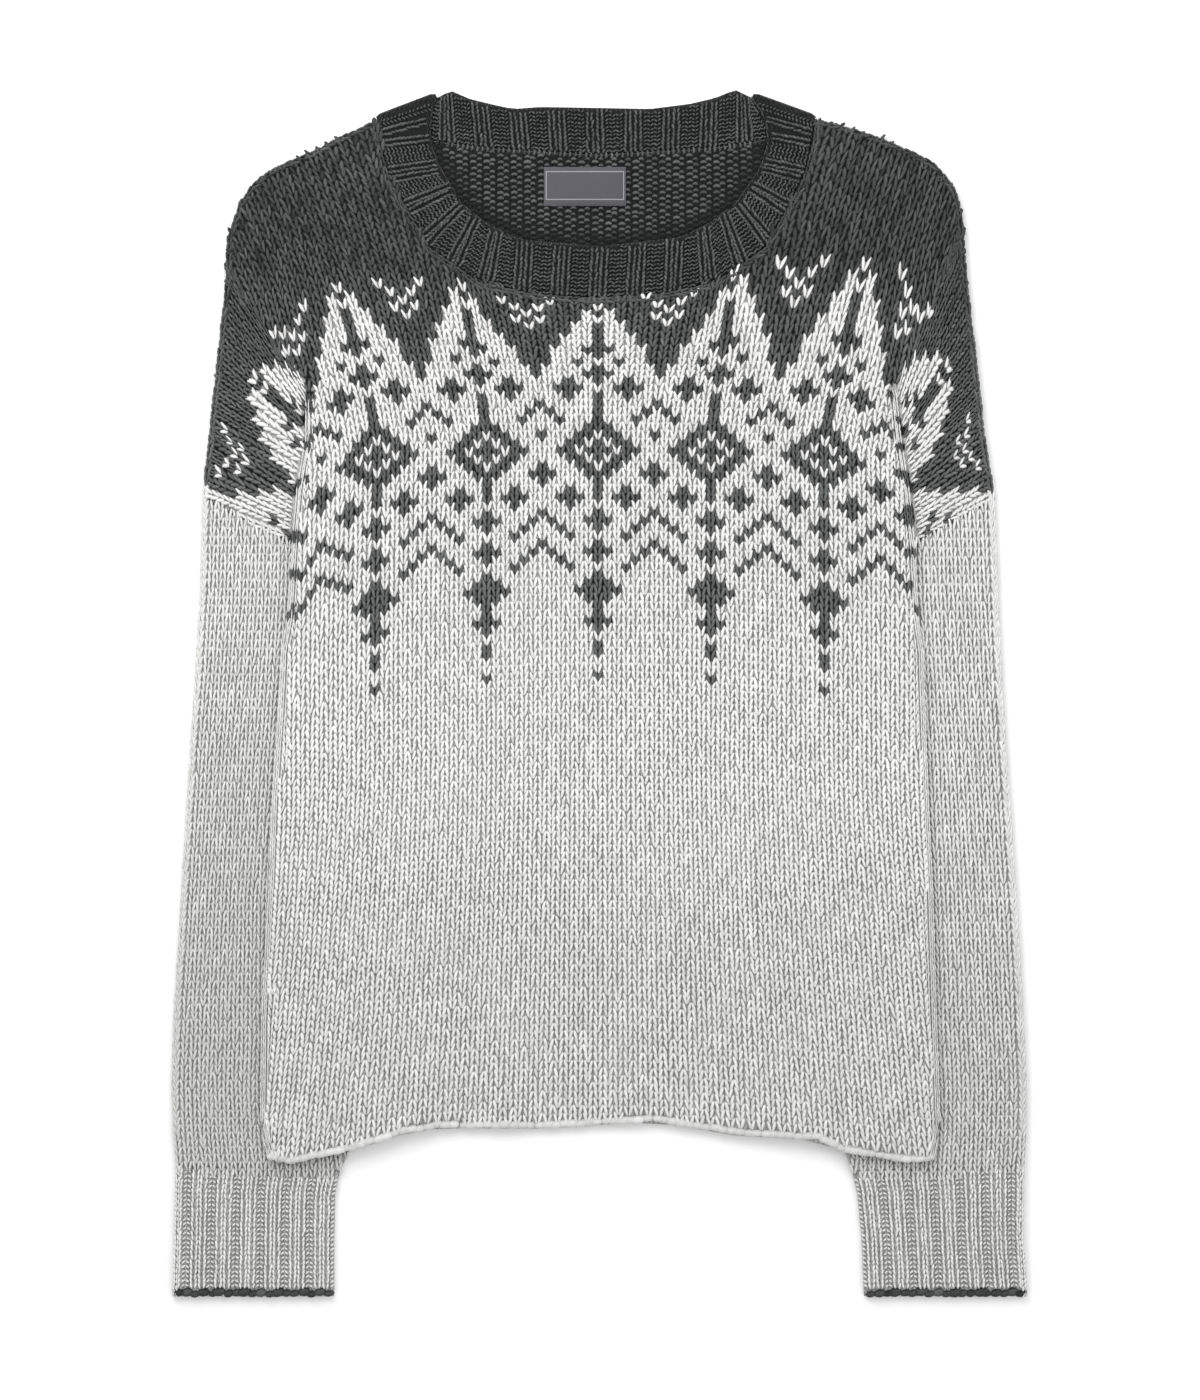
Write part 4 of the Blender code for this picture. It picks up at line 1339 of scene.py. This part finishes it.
@dataclass
class Front(Sewn):
    """The front panel, its upper arms, its yoke and its hem."""

    turned_in: float = 4.7              # width of the side that turns over its fold
    turned_wales: tuple = (1.1, 3.2)    # how far in from the fold its two narrow wales lie
    turned_width: float = 2.6
    turned_long: float = 1.5            # and their light stitches run into one another
    fold_wale: float = 32.0             # the wale whose rows they follow
    fold: Stitches = field(default_factory=Stitches)
    # the bare ground left above the hem shows as a painted shadow line over the roll
    hem_clear: float = 3.5              # the last row ends this far above the hem

    def build(self, yarns: "Shapes", band: Cloth) -> None:
        """Make the cloth and knit it.

        Args:
            yarns: the strands that stitches are made of.
            band: the neckband's cloth, which the front is sewn to.
        """
        self.cloth = Cloth("front", LIGHT_SLOT, yoke_finest=3.2, beside=(band,), creases=(
            Crease((-150.0, -60.0), (-162.0, -262.0), 16.0, -0.7),
            Crease((28.0, -70.0), (20.0, -262.0), 15.0, -1.0),
            Crease((52.0, -120.0), (46.0, -262.0), 13.0, -1.4),
            Crease((-46.0, -150.0), (-40.0, -262.0), 14.0, -1.0),
            Crease((96.0, -30.0), (104.0, -250.0), 18.0, -0.8),
            Crease((-120.0, 90.0), (-170.0, 40.0), 14.0, -0.9),
            Crease((126.0, 96.0), (174.0, 36.0), 14.0, -0.9),
            Crease((-100.0, 20.0), (-90.0, -130.0), 20.0, 0.8),
            Crease((110.0, -20.0), (140.0, -160.0), 20.0, 0.7),
        )).make()
        knit = self.knit()
        self.cloth.dress(knit)
        rims = Stitches()
        for side in Side:
            rims.extend(self.cloth.rim(self.arm_outline(side), np.zeros(2), 4.6, 2.0, 4.4, knit))
        neck = line_of(FRONT_NECK)
        for half, outward in ((neck[:7], (-300.0, 0.0)), (neck[6:], (300.0, 0.0))):
            rims.extend(self.cloth.rim(half, np.array(outward), 4.0, 1.5, 4.4,
                                       knit.of(Ply.DARK)))
        knit.extend(rims)
        light, dark = knit.of(Ply.LIGHT), knit.of(Ply.DARK)
        levels = light.levels()
        edges = (-np.inf, -165.0, -72.0, 30.0, np.inf)
        # painted light: the front's light yarn is darker toward the hem, by level
        for number, band_name in enumerate(("hem", "waist", "chest", "yoke")):
            part = light.chosen((levels >= edges[number]) & (levels < edges[number + 1]))
            self.add(f"front_light_{band_name}", yarns.legs, part, LIGHT_WOOL, 11 + number,
                     tone=by_level(BODY_PAINTED_LIGHT, part.levels()))
        # painted light and shade: the dark yarn is lighter low on the yoke, darker toward the neck
        # and shoulders
        self.add("front_dark_yoke", yarns.legs, dark, DARK_WOOL, 21,
                 tone=by_level(DARK_YARN_PAINTED_LIGHT, dark.levels()), proud=0.22)
        # painted shade: the turned wales at the fold are a little darker than the body beside them
        self.add("front_fold", yarns.ribs, self.fold, LIGHT_WOOL, 22, loose=0.02,
                 tone=by_level(BODY_PAINTED_LIGHT, self.fold.levels()) - 0.06, proud=-0.3)
        hem = self.cloth.rim(line_of(HEM), np.zeros(2), 4.9, 2.2, 5.6)
        # painted shade: the hem's roll is darker than the body's yarn
        self.add("front_hem_chain", (yarns.roll,), hem, LIGHT_WOOL, 31, loose=0.09, tone=-0.12)

    def knit(self) -> Stitches:
        """Work the chest, the body, its turned sides and both upper arms.

        Returns:
            The stitches, apart from the light ones of the turned sides.
        """
        made = self.cloth.lay(body_place, BODY_WALES, BODY_ROWS, self.on_body, self.yarn)
        for side in Side:
            numbers = side.value * (CHEST_WALES + np.arange(1, ARM_WALES + 1, dtype=float))
            arm = self.cloth.lay(ArmMap(side), numbers, np.arange(*ARM_ROWS, dtype=float),
                                 self.on_arm(side), self.yarn, 7.2)
            self.whiten_seam(arm)
            made.extend(arm)
            for row in BODY_ROWS:
                self.fill_in(made, side, row)
            turned = self.turned_side(side)
            made.extend(turned.of(Ply.DARK))
            self.fold.extend(turned.of(Ply.LIGHT))
        self.small_motifs(made)
        return made

    @staticmethod
    def whiten_seam(arm: Stitches) -> None:
        """Work the arm's stitches next to the armhole seam in the light yarn.

        Args:
            arm: the stitches of one upper arm.
        """
        for number, point in enumerate(arm.points):
            swing = abs((abs(point[0]) / MM / ARM_LIGHT_REPEAT) % 1.0 - 0.5) * 4.0 - 1.0
            if point[1] / MM < ARM_LIGHT_Y + ARM_LIGHT_JAG * swing:
                arm.yarns[number] = Ply.LIGHT.value

    @staticmethod
    def small_motifs(knit: Stitches) -> None:
        """Work the single light stitches over the shoulders and the dark ones at the seams.

        Args:
            knit: the front's stitches.
        """
        tree = tree_of(knit)
        wales, rows = np.array(SHOULDER_MOTIFS, dtype=float).T
        for x, y in np.column_stack(body_place(wales, rows)):
            spot = Vector((x * MM, y * MM, 0.0))
            for _, number, _ in tree.find_range(spot, MOTIF_REACH * MM):
                knit.yarns[number] = Ply.LIGHT.value
        for x, y in SEAM_DOTS:
            _, nearest, _ = tree.find(Vector((x * MM, y * MM, 0.0)))
            knit.yarns[nearest] = Ply.DARK.value

    def turned_side(self, side: Side) -> Stitches:
        """Work the narrow wales where the body turns over the fold at its side.

        Args:
            side: which side of the body.

        Returns:
            Their stitches.
        """
        made = Stitches()
        wale = np.full(len(BODY_ROWS), side.value * self.fold_wale)
        places = np.column_stack([body_place(wale, BODY_ROWS + up)[1] for up in (-0.5, 0.0, 0.5)])
        for inset in self.turned_wales:
            for row, levels in zip(BODY_ROWS, places):
                if levels[1] > FOLD_TOP_Y - 8.0:
                    continue
                low, spot, high = (np.array((side_x(BODY_SIDE, side, y) - side.value * inset, y))
                                   for y in levels)
                yarn = self.yarn(int(round((spot[0] - CENTRE_X) / WALE)), int(row))
                long = self.turned_long if yarn is Ply.LIGHT else 1.0
                self.cloth.put(made, spot, np.array((self.turned_width, 0.0)),
                               long * (high - low), yarn, 0.2)
        return made

    def fill_in(self, made: Stitches, side: Side, row: float) -> None:
        """Close the wedge between the last whole wale and the turned ones with a narrow stitch.

        Args:
            made: takes the stitch.
            side: which side of the body.
            row: the row to look at.
        """
        wales = side.value * np.arange(26.0, LAST_WALE)
        x, y = body_place(wales, np.full(len(wales), row))
        room = (side_x(BODY_SIDE, side, y) - x) * side.value
        whole = np.nonzero(room > self.turned_in)[0]
        if not len(whole) or y[whole[-1]] > FOLD_TOP_Y - 12.0:
            return
        last = whole[-1]
        pitch = abs(x[last + 1] - x[last])
        gap = room[last] - 0.5 * pitch - self.turned_in + 0.4
        if gap < 0.5:
            return
        spot = np.array((x[last] + side.value * 0.5 * (pitch + gap), y[last]))
        self.cloth.put(made, spot, np.array((gap + 1.6, 0.0)), np.array((0.0, PLAIN_ROW)),
                       self.yarn(int(wales[last]) + side.value, int(row)), 0.4)

    @staticmethod
    def yarn(wale: int, row: int) -> Ply:
        """The yarn of a stitch by the yoke's chart."""
        return Ply.DARK if CHART.is_dark(wale, row) else Ply.LIGHT

    def on_body(self, x: np.ndarray, y: np.ndarray) -> np.ndarray:
        """Which stitches of the body's map belong to it and not to an upper arm.

        Args:
            x: places in millimetres.
            y: places in millimetres.

        Returns:
            A mask of the places.
        """
        shown = np.ones(len(x), dtype=bool)
        for side in Side:
            edge = side_x(BODY_SIDE, side, y)
            room = self.turned_in * ease((FOLD_TOP_Y - y) / 14.0)
            beyond = (x - edge) * side.value > -room
            crease_x, line_y = ArmMap(side).top_line(x)
            in_arm = (y < line_y - ARM_OVERLAP) & ((x - crease_x) * side.value > 0)
            shown &= ~(beyond & (y < FOLD_TOP_Y)) & ~(in_arm & (y >= FOLD_TOP_Y - 1.0))
        hem = line_of(HEM)
        return shown & (y > np.interp(x, hem[:, 0], hem[:, 1]) + self.hem_clear)

    def on_arm(self, side: Side):
        """A test for the stitches of one upper arm.

        Args:
            side: which arm.

        Returns:
            A function of x and y that gives a mask.
        """
        def keep(x: np.ndarray, y: np.ndarray) -> np.ndarray:
            """Which of the arm's stitches lie between the crease and the outer edge."""
            inner = side_x(BODY_SIDE, side, y)
            outer = side_x(ARM_EDGE, side, y)
            below = y < ArmMap(side).top_line(x)[1] + 1.0
            return below & ((x - inner) * side.value > 1.2) & ((outer - x) * side.value > 1.4)
        return keep

    @staticmethod
    def arm_outline(side: Side) -> np.ndarray:
        """The outline from the armhole seam up the arm and over the shoulder.

        Args:
            side: which side's outline.

        Returns:
            Its points, in millimetres.
        """
        arm = np.array(ARM_EDGE)[::-1]
        first = 0 if side is Side.RIGHT else 2
        shoulder = np.array(SHOULDER)[1:, first:first + 2]
        return np.vstack((np.column_stack((arm[:, side.column], arm[:, 0])), shoulder))


def edge_line(table: tuple, side: Side, inner: bool) -> np.ndarray:
    """The outer or inner edge of a sleeve or a cuff, from its table."""
    first = (0 if side is Side.RIGHT else 4) + (2 if inner else 0)
    return np.array([row[first:first + 2] for row in table])


def last_plain(side: Side, x: np.ndarray) -> np.ndarray:
    """Level down to which a sleeve's plain knit runs, a little way onto the cuff."""
    outer_x, inner_x = (edge_line(CUFFS, side, inner)[0, 0] for inner in (False, True))
    return PLAIN_END[0] + (PLAIN_END[1] - PLAIN_END[0]) * (x - outer_x) / (inner_x - outer_x)


@dataclass
class Cuff(Sewn):
    """The ribbed cuff of one sleeve, with its dark cast-on edge."""

    side: Side = Side.RIGHT
    row: float = 2.78
    rib_share: float = 0.165            # of a rib's run, from its middle to one of its wales
    hollows: tuple = (-0.58, -0.42)     # the columns of purl, from a rib's middle
    hollow_width: float = 0.16
    grain_slant: float = 0.42           # how steeply the grains of purl lie
    tip_height: float = 4.4
    #             length, height, how far up   (of the dark edge's lumps: larger in the hollows)
    lumps: tuple = ((4.6, 5.0, 2.0), (5.6, 6.4, 2.6), (4.2, 4.8, 1.6), (5.2, 6.0, 2.3),
                    (4.4, 4.6, 1.5), (6.0, 6.2, 2.7), (4.0, 5.2, 1.9))

    def lay_out(self) -> "Cuff":
        """Make the cuff's cloth, which the sleeve's stitches run on over."""
        self.cloth = Cloth(f"cuff_{self.side.name_part}", LIGHT_SLOT, sink=0.7).make()
        return self

    def build(self, yarns: "Shapes") -> None:
        """Work the ribs, the rice-like purl between them and the dark tip.

        Args:
            yarns: the strands that stitches are made of.
        """
        self.cloth.dress(Stitches())
        outer, inner = (edge_line(CUFFS, self.side, deep) for deep in (False, True))
        run = run_of(outer)[-1]
        knit, bumps = Stitches(), Stitches()
        for place, width, is_knit, slant in rib_columns(
                range(int(CUFF_RIBS) + 2), 0.0, self.rib_share, self.hollows, self.hollow_width,
                self.grain_slant):
            place /= CUFF_RIBS
            if not 0.008 < place < 0.992:
                continue
            for row in range(int((run - self.tip_height) / self.row) + 1):
                down = (row + 0.3) * self.row / run
                start, end = (sample(line, [down, down + 0.02]) for line in (outer, inner))
                spot, below = start + (end - start) * place
                if spot[1] > last_plain(self.side, spot[0]) + 1.0:
                    continue
                ahead = (spot - below) * self.row * 1.1 / np.linalg.norm(spot - below)
                across = (end[0] - start[0]) * width / CUFF_RIBS + slant * ahead
                self.cloth.put(knit if is_knit else bumps, spot, across, ahead, Ply.LIGHT, 4.0)
        tip = self.tip(outer[-1], inner[-1])
        knit.extend(self.cloth.rim(outer, 0.5 * (outer[0] + inner[-1]), 3.2, 2.2, 2.8))
        name = f"cuff_{self.side.name_part}"
        self.add(f"{name}_ribs", yarns.ribs, knit, LIGHT_WOOL, 51, tone=0.08)
        # painted shade: the purl hollows between the ribs are a little darker than the ribs
        self.add(f"{name}_hollows", (yarns.rice,), bumps, LIGHT_WOOL, 52, tone=0.03)
        self.add(f"{name}_tip", (yarns.lump,), tip, DARK_WOOL, 53, tone=-0.06)

    def tip(self, outer: np.ndarray, inner: np.ndarray) -> Stitches:
        """Work the dark cast-on edge.

        Args:
            outer: the wrist's outer corner.
            inner: its inner corner.

        Returns:
            Its lumps.
        """
        made = Stitches()
        wide = np.linalg.norm(inner - outer)
        toward = (inner - outer) / wide
        travel, number = 1.2, 0
        while travel < wide - 3.0:
            length, height, up = self.lumps[number % len(self.lumps)]
            spot = outer + toward * (travel + 0.5 * length) + np.array((0.0, up))
            point, _ = self.cloth.drop(*spot)
            travel, number = travel + length, number + 1
            if point is None:
                continue
            ahead = np.array((*(toward * length * 1.1), 0.0))
            across = np.array((0.0, -height * math.copysign(1.0, ahead[0]), 0.0))
            made.add(np.array(point), across * MM, ahead * MM, np.array((0.0, 0.0, 1.0)),
                     Ply.DARK)
        return made


@dataclass
class Sleeve(Sewn):
    """One sleeve, in plain knit, and its cuff."""

    side: Side = Side.RIGHT
    cuff: Cuff = None
    tuck: float = 8.0                   # how far its stitches reach in under the body
    wales: int = 34
    rows: int = 100

    def build(self, yarns: "Shapes", front: Cloth) -> None:
        """Make the sleeve's and the cuff's cloth and knit both.

        Args:
            yarns: the strands that stitches are made of.
            front: the front's cloth, which the sleeve is sewn to.
        """
        name = f"sleeve_{self.side.name_part}"
        self.cuff = Cuff(side=self.side).lay_out()
        self.cloth = Cloth(name, LIGHT_SLOT, neighbours=(self.cuff.cloth, front)).make()
        knit = self.cloth.lay(self.place, np.arange(self.wales, dtype=float),
                              np.arange(-self.rows, 1, dtype=float), self.shows,
                              lambda wale, row: Ply.LIGHT)
        outer = edge_line(SLEEVES, self.side, False)
        knit.extend(self.cloth.rim(outer[:-1], np.zeros(2), 4.2, 2.0, 3.4))
        self.cloth.dress(Stitches())
        # painted light: the sleeve's yarn is darker toward the cuff, by level
        self.add(f"{name}_knit", yarns.legs, knit, LIGHT_WOOL, 41,
                 tone=by_level(SLEEVE_PAINTED_LIGHT[self.side.column - 1], knit.levels()))
        self.cuff.build(yarns)

    def place(self, wale: np.ndarray, row: np.ndarray) -> tuple:
        """x and y of the sleeve's stitches, whose wales follow its outer edge.

        Args:
            wale: their wales, 0 at the outer edge.
            row: their rows, 0 at the armhole seam.

        Returns:
            x and y, in millimetres.
        """
        outer = edge_line(SLEEVES, self.side, False)
        first, falls = SLEEVE_ROWS[self.side.column - 1]
        y = outer[0, 1] + 1.0 + first * row + falls * row * row
        pitch = by_level(SLEEVE_WALES[self.side.column - 1], y)
        x = np.interp(-y, -outer[:, 1], outer[:, 0])
        return x - self.side.value * (wale + 0.5) * pitch, y

    def shows(self, x: np.ndarray, y: np.ndarray) -> np.ndarray:
        """Which of the sleeve's stitches show beside and below the body.

        Args:
            x: places in millimetres.
            y: places in millimetres.

        Returns:
            A mask of the places.
        """
        seam = edge_line(SLEEVES, self.side, False)[0]
        end = np.array((side_x(BODY_SIDE, self.side, ARMHOLE_Y), ARMHOLE_Y))
        seam_y = seam[1] + (x - seam[0]) * (end[1] - seam[1]) / (end[0] - seam[0])
        beside = (x - side_x(BODY_SIDE, self.side, y)) * self.side.value > -self.tuck
        hem = line_of(HEM)
        below = y < np.interp(x, hem[:, 0], hem[:, 1]) + self.tuck
        inner = edge_line(SLEEVES, self.side, True)
        inner_x = np.interp(-y, -inner[:, 1], inner[:, 0])
        on_sleeve = (y > last_plain(self.side, x)) & ((x - inner_x) * self.side.value > 1.6)
        return (beside | below) & (y < seam_y + 2.4) & on_sleeve


@dataclass
class Neckband(Sewn):
    """The ribbed neckband, a ring folded flat at the two neck points."""

    row: float = 2.35
    purl_row: float = 2.3
    rib_share: float = 0.133            # of a rib's run, from its middle to one of its wales
    hollows: tuple = (0.315, 0.4075, 0.5, 0.5925, 0.685)
    hollow_width: float = 0.115
    grain_slant: float = 0.42           # how steeply the grains of purl lie
    back_face: float = 3.4              # nothing of the back half lies above this
    seam_gap: float = 1.2               # from the seam to the first row

    def lay_out(self) -> "Neckband":
        """Make the band's cloth, which the front is sewn to."""
        self.cloth = Cloth("neckband", DARK_SLOT, sink=0.7).make()
        return self

    def build(self, yarns: "Shapes") -> None:
        """Colour the band's cloth and knit both halves.

        Args:
            yarns: the strands that stitches are made of.
        """
        self.cloth.dress(Stitches(), 1.0)
        knit, bumps = Stitches(), Stitches()
        self.work_half(line_of(FRONT_NECK), line_of(BAND_FRONT), np.array(FRONT_RIB_RUN),
                       BAND_FRONT_RIBS, 0.5, knit, bumps)
        self.work_half(line_of(BACK_NECK)[::-1], line_of(BAND_BACK), np.array(BACK_RIB_RUN),
                       BAND_BACK_RIBS, 0.0, knit, bumps)
        self.add("neckband_ribs", yarns.ribs, knit, DARK_WOOL, 61, tone=0.11)
        self.add("neckband_hollows", (yarns.rice,), bumps, DARK_WOOL, 62, loose=0.07, tone=0.11)

    def work_half(self, seam: np.ndarray, edge: np.ndarray, run: np.ndarray, ribs: int,
                  start: float, knit: Stitches, bumps: Stitches) -> None:
        """Work the ribs of one half of the band.

        Args:
            seam: the seam line with the panel.
            edge: the finished edge.
            run: where the ribs that start along the seam end on the edge.
            ribs: how many ribs this half has.
            start: how far from the half's start its first rib's middle lies, in ribs.
            knit: takes the knit stitches.
            bumps: takes the purled ones.
        """
        for place, width, is_knit, slant in rib_columns(
                range(-1, ribs + 1), start, self.rib_share, self.hollows, self.hollow_width,
                self.grain_slant):
            place /= ribs
            if not 0.004 < place < 0.996:
                continue
            ends, sides = [], []
            for line, at in ((seam, place), (edge, np.interp(place, run[:, 0], run[:, 1]))):
                before, middle, after = sample(line, np.clip((at - 0.01, at, at + 0.01), 0.0, 1.0))
                ends.append(middle)
                sides.append(after - before)
            length = np.linalg.norm(ends[1] - ends[0])
            toward = (ends[1] - ends[0]) / length
            turned = np.array((toward[1], -toward[0]))
            wides = [abs(side.dot(turned)) / 0.02 / ribs * width for side in sides]
            pitch = self.row if is_knit else self.purl_row
            for row in range(max(int((length - 2.0) / pitch), 1)):
                up = (self.seam_gap + (row + 0.5) * pitch) / length
                spot = ends[0] + (ends[1] - ends[0]) * up
                point, _ = self.cloth.drop(*spot)
                if up > 0.97 or point is None:
                    continue
                if start == 0.0 and point.z > self.back_face * MM:
                    continue
                wide = max(wides[0] + (wides[1] - wides[0]) * up, 1.2)
                ahead = toward * pitch * 1.1
                self.cloth.put(knit if is_knit else bumps, spot, turned * wide + slant * ahead,
                               ahead, Ply.DARK, 4.0)


@dataclass
class Back(Sewn):
    """The back panel; its purl side shows in the neck opening."""

    arc: float = 7.9            # width of a pair of purl columns
    arc_row: float = 3.6
    lowest: float = 238.0       # level of the lowest purl row that shows
    tone: float = 0.11
    shadow: float = 0.4         # how much darker the inside is beside the front of the band
    shadow_reach: float = 11.0

    def build(self, yarns: "Shapes") -> None:
        """Make the back's cloth and the purl arcs that show at the neck.

        Args:
            yarns: the strands that stitches are made of.
        """
        self.cloth = Cloth("back", LIGHT_SLOT, yoke_finest=4.4, outside=-1.0).make()
        self.cloth.dress(self.cloth.lay(body_place, BODY_WALES, BODY_ROWS,
                                        lambda x, y: y > -300.0, Front.yarn))
        inside = self.cloth.lay(self.place, np.arange(-32.0, 33.0), np.arange(0.0, 30.0),
                                self.in_neck, lambda wale, row: Ply.DARK)
        inside.extend(self.cloth.rim(line_of(BACK_NECK), np.array((0.0, 200.0)), 3.0, 0.5, 4.2))
        edge = sample(line_of(BAND_FRONT), np.linspace(0.0, 1.0, 200))
        spots = np.array(inside.points)[:, :2] / MM
        away = np.linalg.norm(spots[:, None, :] - edge[None, :, :], axis=2).min(axis=1)
        shade = self.tone - self.shadow * (1.0 - ease(away / self.shadow_reach))
        self.add("back_neck_purl", (yarns.purl,), inside, DARK_WOOL, 71, loose=0.07, tone=shade)

    def place(self, wale: np.ndarray, row: np.ndarray) -> tuple:
        """x and y of the purl arcs, which interlock in pairs of columns.

        Args:
            wale: their columns.
            row: their rows.

        Returns:
            x and y, in millimetres.
        """
        column = np.round(wale)
        inner = np.where(column % 2 == 0, -0.21, 0.21) * self.arc
        x = CENTRE_X + self.arc * np.floor(column / 2.0) + inner + (wale - column) * self.arc * 0.55
        shift = np.where(column % 2 == 0, 0.0, 0.5)
        return x, self.lowest + self.arc_row * (row + shift)

    @staticmethod
    def in_neck(x: np.ndarray, y: np.ndarray) -> np.ndarray:
        """Which arcs show inside the neckband, with a margin under its front.

        Args:
            x: places in millimetres.
            y: places in millimetres.

        Returns:
            A mask of the places.
        """
        edge, seam = line_of(BAND_FRONT[1:-1]), line_of(BACK_NECK)
        low = np.interp(x, edge[:, 0], edge[:, 1])
        high = np.interp(x, seam[:, 0], seam[:, 1])
        return (y > low - 9.0) & (y < high - 2.0) & (np.abs(x) < 108.0)


@dataclass
class Label:
    """The bare woven neck label: a slip with turned-under ends and a plain border."""

    piece: bpy.types.Object = None
    belly: float = 0.5 * MM

    def build(self) -> None:
        """Model the label from a cube at its node's place and dress it."""
        low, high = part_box("label")
        centre = (low + high) / 2
        size = high - low
        deselect()
        bpy.ops.mesh.primitive_cube_add(size=1.0, location=centre)
        self.piece = bpy.context.active_object
        self.piece.name = "label_slip"
        self.piece.data.name = "label_slip"
        self.piece.scale = size
        bpy.ops.object.transform_apply(location=True, rotation=True, scale=True)
        bpy.ops.object.mode_set(mode="EDIT")
        bpy.ops.mesh.select_all(action="SELECT")
        bpy.ops.mesh.subdivide(number_cuts=11)
        bpy.ops.object.mode_set(mode="OBJECT")
        for vertex in self.piece.data.vertices:
            across = (vertex.co.x - centre.x) / (0.5 * size.x)
            up = (vertex.co.y - centre.y) / (0.5 * size.y)
            vertex.co.z += self.belly * (1.0 - across ** 4) * (1.0 - up ** 4)
        round_off = self.piece.modifiers.new("round", "BEVEL")
        round_off.width = 0.15 * MM
        round_off.segments = 2
        bpy.ops.object.modifier_apply(modifier=round_off.name)
        self.piece.data.shade_smooth()
        finish = Ribbon("label_ribbon", (0.045, 0.043, 0.054), (0.26, 0.26, 0.28),
                        (centre.x, centre.y + 0.5 * MM), (0.5 * size.x, 0.5 * size.y),
                        (1.1 * MM, 3.0 * MM), 0.55 * MM)
        self.piece.data.materials.append(finish.material())
        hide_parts("label")
        finish_piece(self.piece)


@dataclass
class Shapes:
    """The strands that every stitch is made of."""

    legs: tuple
    ribs: tuple
    purl: Strand
    rice: Strand
    lump: Strand
    roll: Strand


# ---------------------------------------------------------------- studio


@dataclass
class Studio:
    """Pale floor, soft light and the camera straight above."""

    view_height: float = 819.0 * MM
    distance: float = 2.6
    aim: tuple = (0.3 * MM, -4.4 * MM)
    sensor: float = 36.0

    def build(self) -> None:
        """Make the floor, the lights, the world and the camera."""
        self.floor()
        self.light("key", (-0.35, 0.75, 1.0), 1.0, 11.5)
        self.light("fill", (1.1, 0.2, 2.0), 2.2, 13.0)
        world = bpy.context.scene.world or bpy.data.worlds.new("studio")
        bpy.context.scene.world = world
        world.use_nodes = True
        surround = world.node_tree.nodes["Background"]
        surround.inputs["Color"].default_value = (1.0, 1.0, 1.0, 1.0)
        surround.inputs["Strength"].default_value = 0.74
        bpy.context.scene.view_settings.view_transform = "Standard"
        data = bpy.data.cameras.new("camera")
        data.type = "PERSP"
        data.sensor_width = self.sensor
        data.lens = self.sensor * self.distance / self.view_height
        camera = bpy.data.objects.new("camera", data)
        link(camera)
        camera.location = (*self.aim, self.distance)
        bpy.context.scene.camera = camera

    def floor(self) -> None:
        """A wide pale floor a hair below the cloth."""
        deselect()
        bpy.ops.mesh.primitive_plane_add(size=12.0, location=(0.0, 0.0, -0.05 * MM))
        floor = bpy.context.active_object
        floor.name = "floor"
        paint = bpy.data.materials.new("pale_floor")
        paint.use_nodes = True
        shader = paint.node_tree.nodes["Principled BSDF"]
        shader.inputs["Base Color"].default_value = (0.95, 0.95, 0.95, 1.0)
        shader.inputs["Roughness"].default_value = 0.9
        floor.data.materials.append(paint)
        floor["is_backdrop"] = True

    @staticmethod
    def light(name: str, place: tuple, size: float, power: float) -> None:
        """A square area light that looks at the garment.

        Args:
            name: the light's name.
            place: where it hangs.
            size: its side.
            power: its power in watts.
        """
        data = bpy.data.lights.new(name, "AREA")
        data.size = size
        data.energy = power
        lamp = bpy.data.objects.new(name, data)
        link(lamp)
        lamp.location = place
        lamp.rotation_mode = "QUATERNION"
        lamp.rotation_quaternion = (-Vector(place)).to_track_quat("-Z", "Y")


def main() -> None:
    """Build the pullover piece by piece, then the studio."""
    logging.basicConfig(level=logging.INFO, format="%(message)s")
    log = logging.getLogger("pullover")
    legs, ribs = ((Strand("leg_left", route).model(), Strand("leg_right", mirrored(route)).model())
                  for route in (LEG_ROUTE, RIB_ROUTE))
    yarns = Shapes(legs, ribs, purl_bump("purl", PURL_ROUTE), purl_bump("rice", RICE_ROUTE),
                   Strand("lump", LUMP_ROUTE).model(), Strand("roll", ROLL_ROUTE).model())
    band = Neckband().lay_out()
    front = Front()
    front.build(yarns, band.cloth)
    log.info("front: %d pieces", len(front.pieces))
    back = Back()
    back.build(yarns)
    log.info("back: %d pieces", len(back.pieces))
    sleeves = [Sleeve(side=side) for side in Side]
    for sleeve in sleeves:
        sleeve.build(yarns, front.cloth)
        log.info("sleeve %s: %d pieces", sleeve.side.name_part, len(sleeve.pieces))
    band.build(yarns)
    log.info("neckband: %d pieces", len(band.pieces))
    Label().build()
    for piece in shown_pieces():
        log.info("%s: %d faces", piece.name, len(piece.data.polygons))
    Studio().build()


if __name__ == "__main__":
    main()
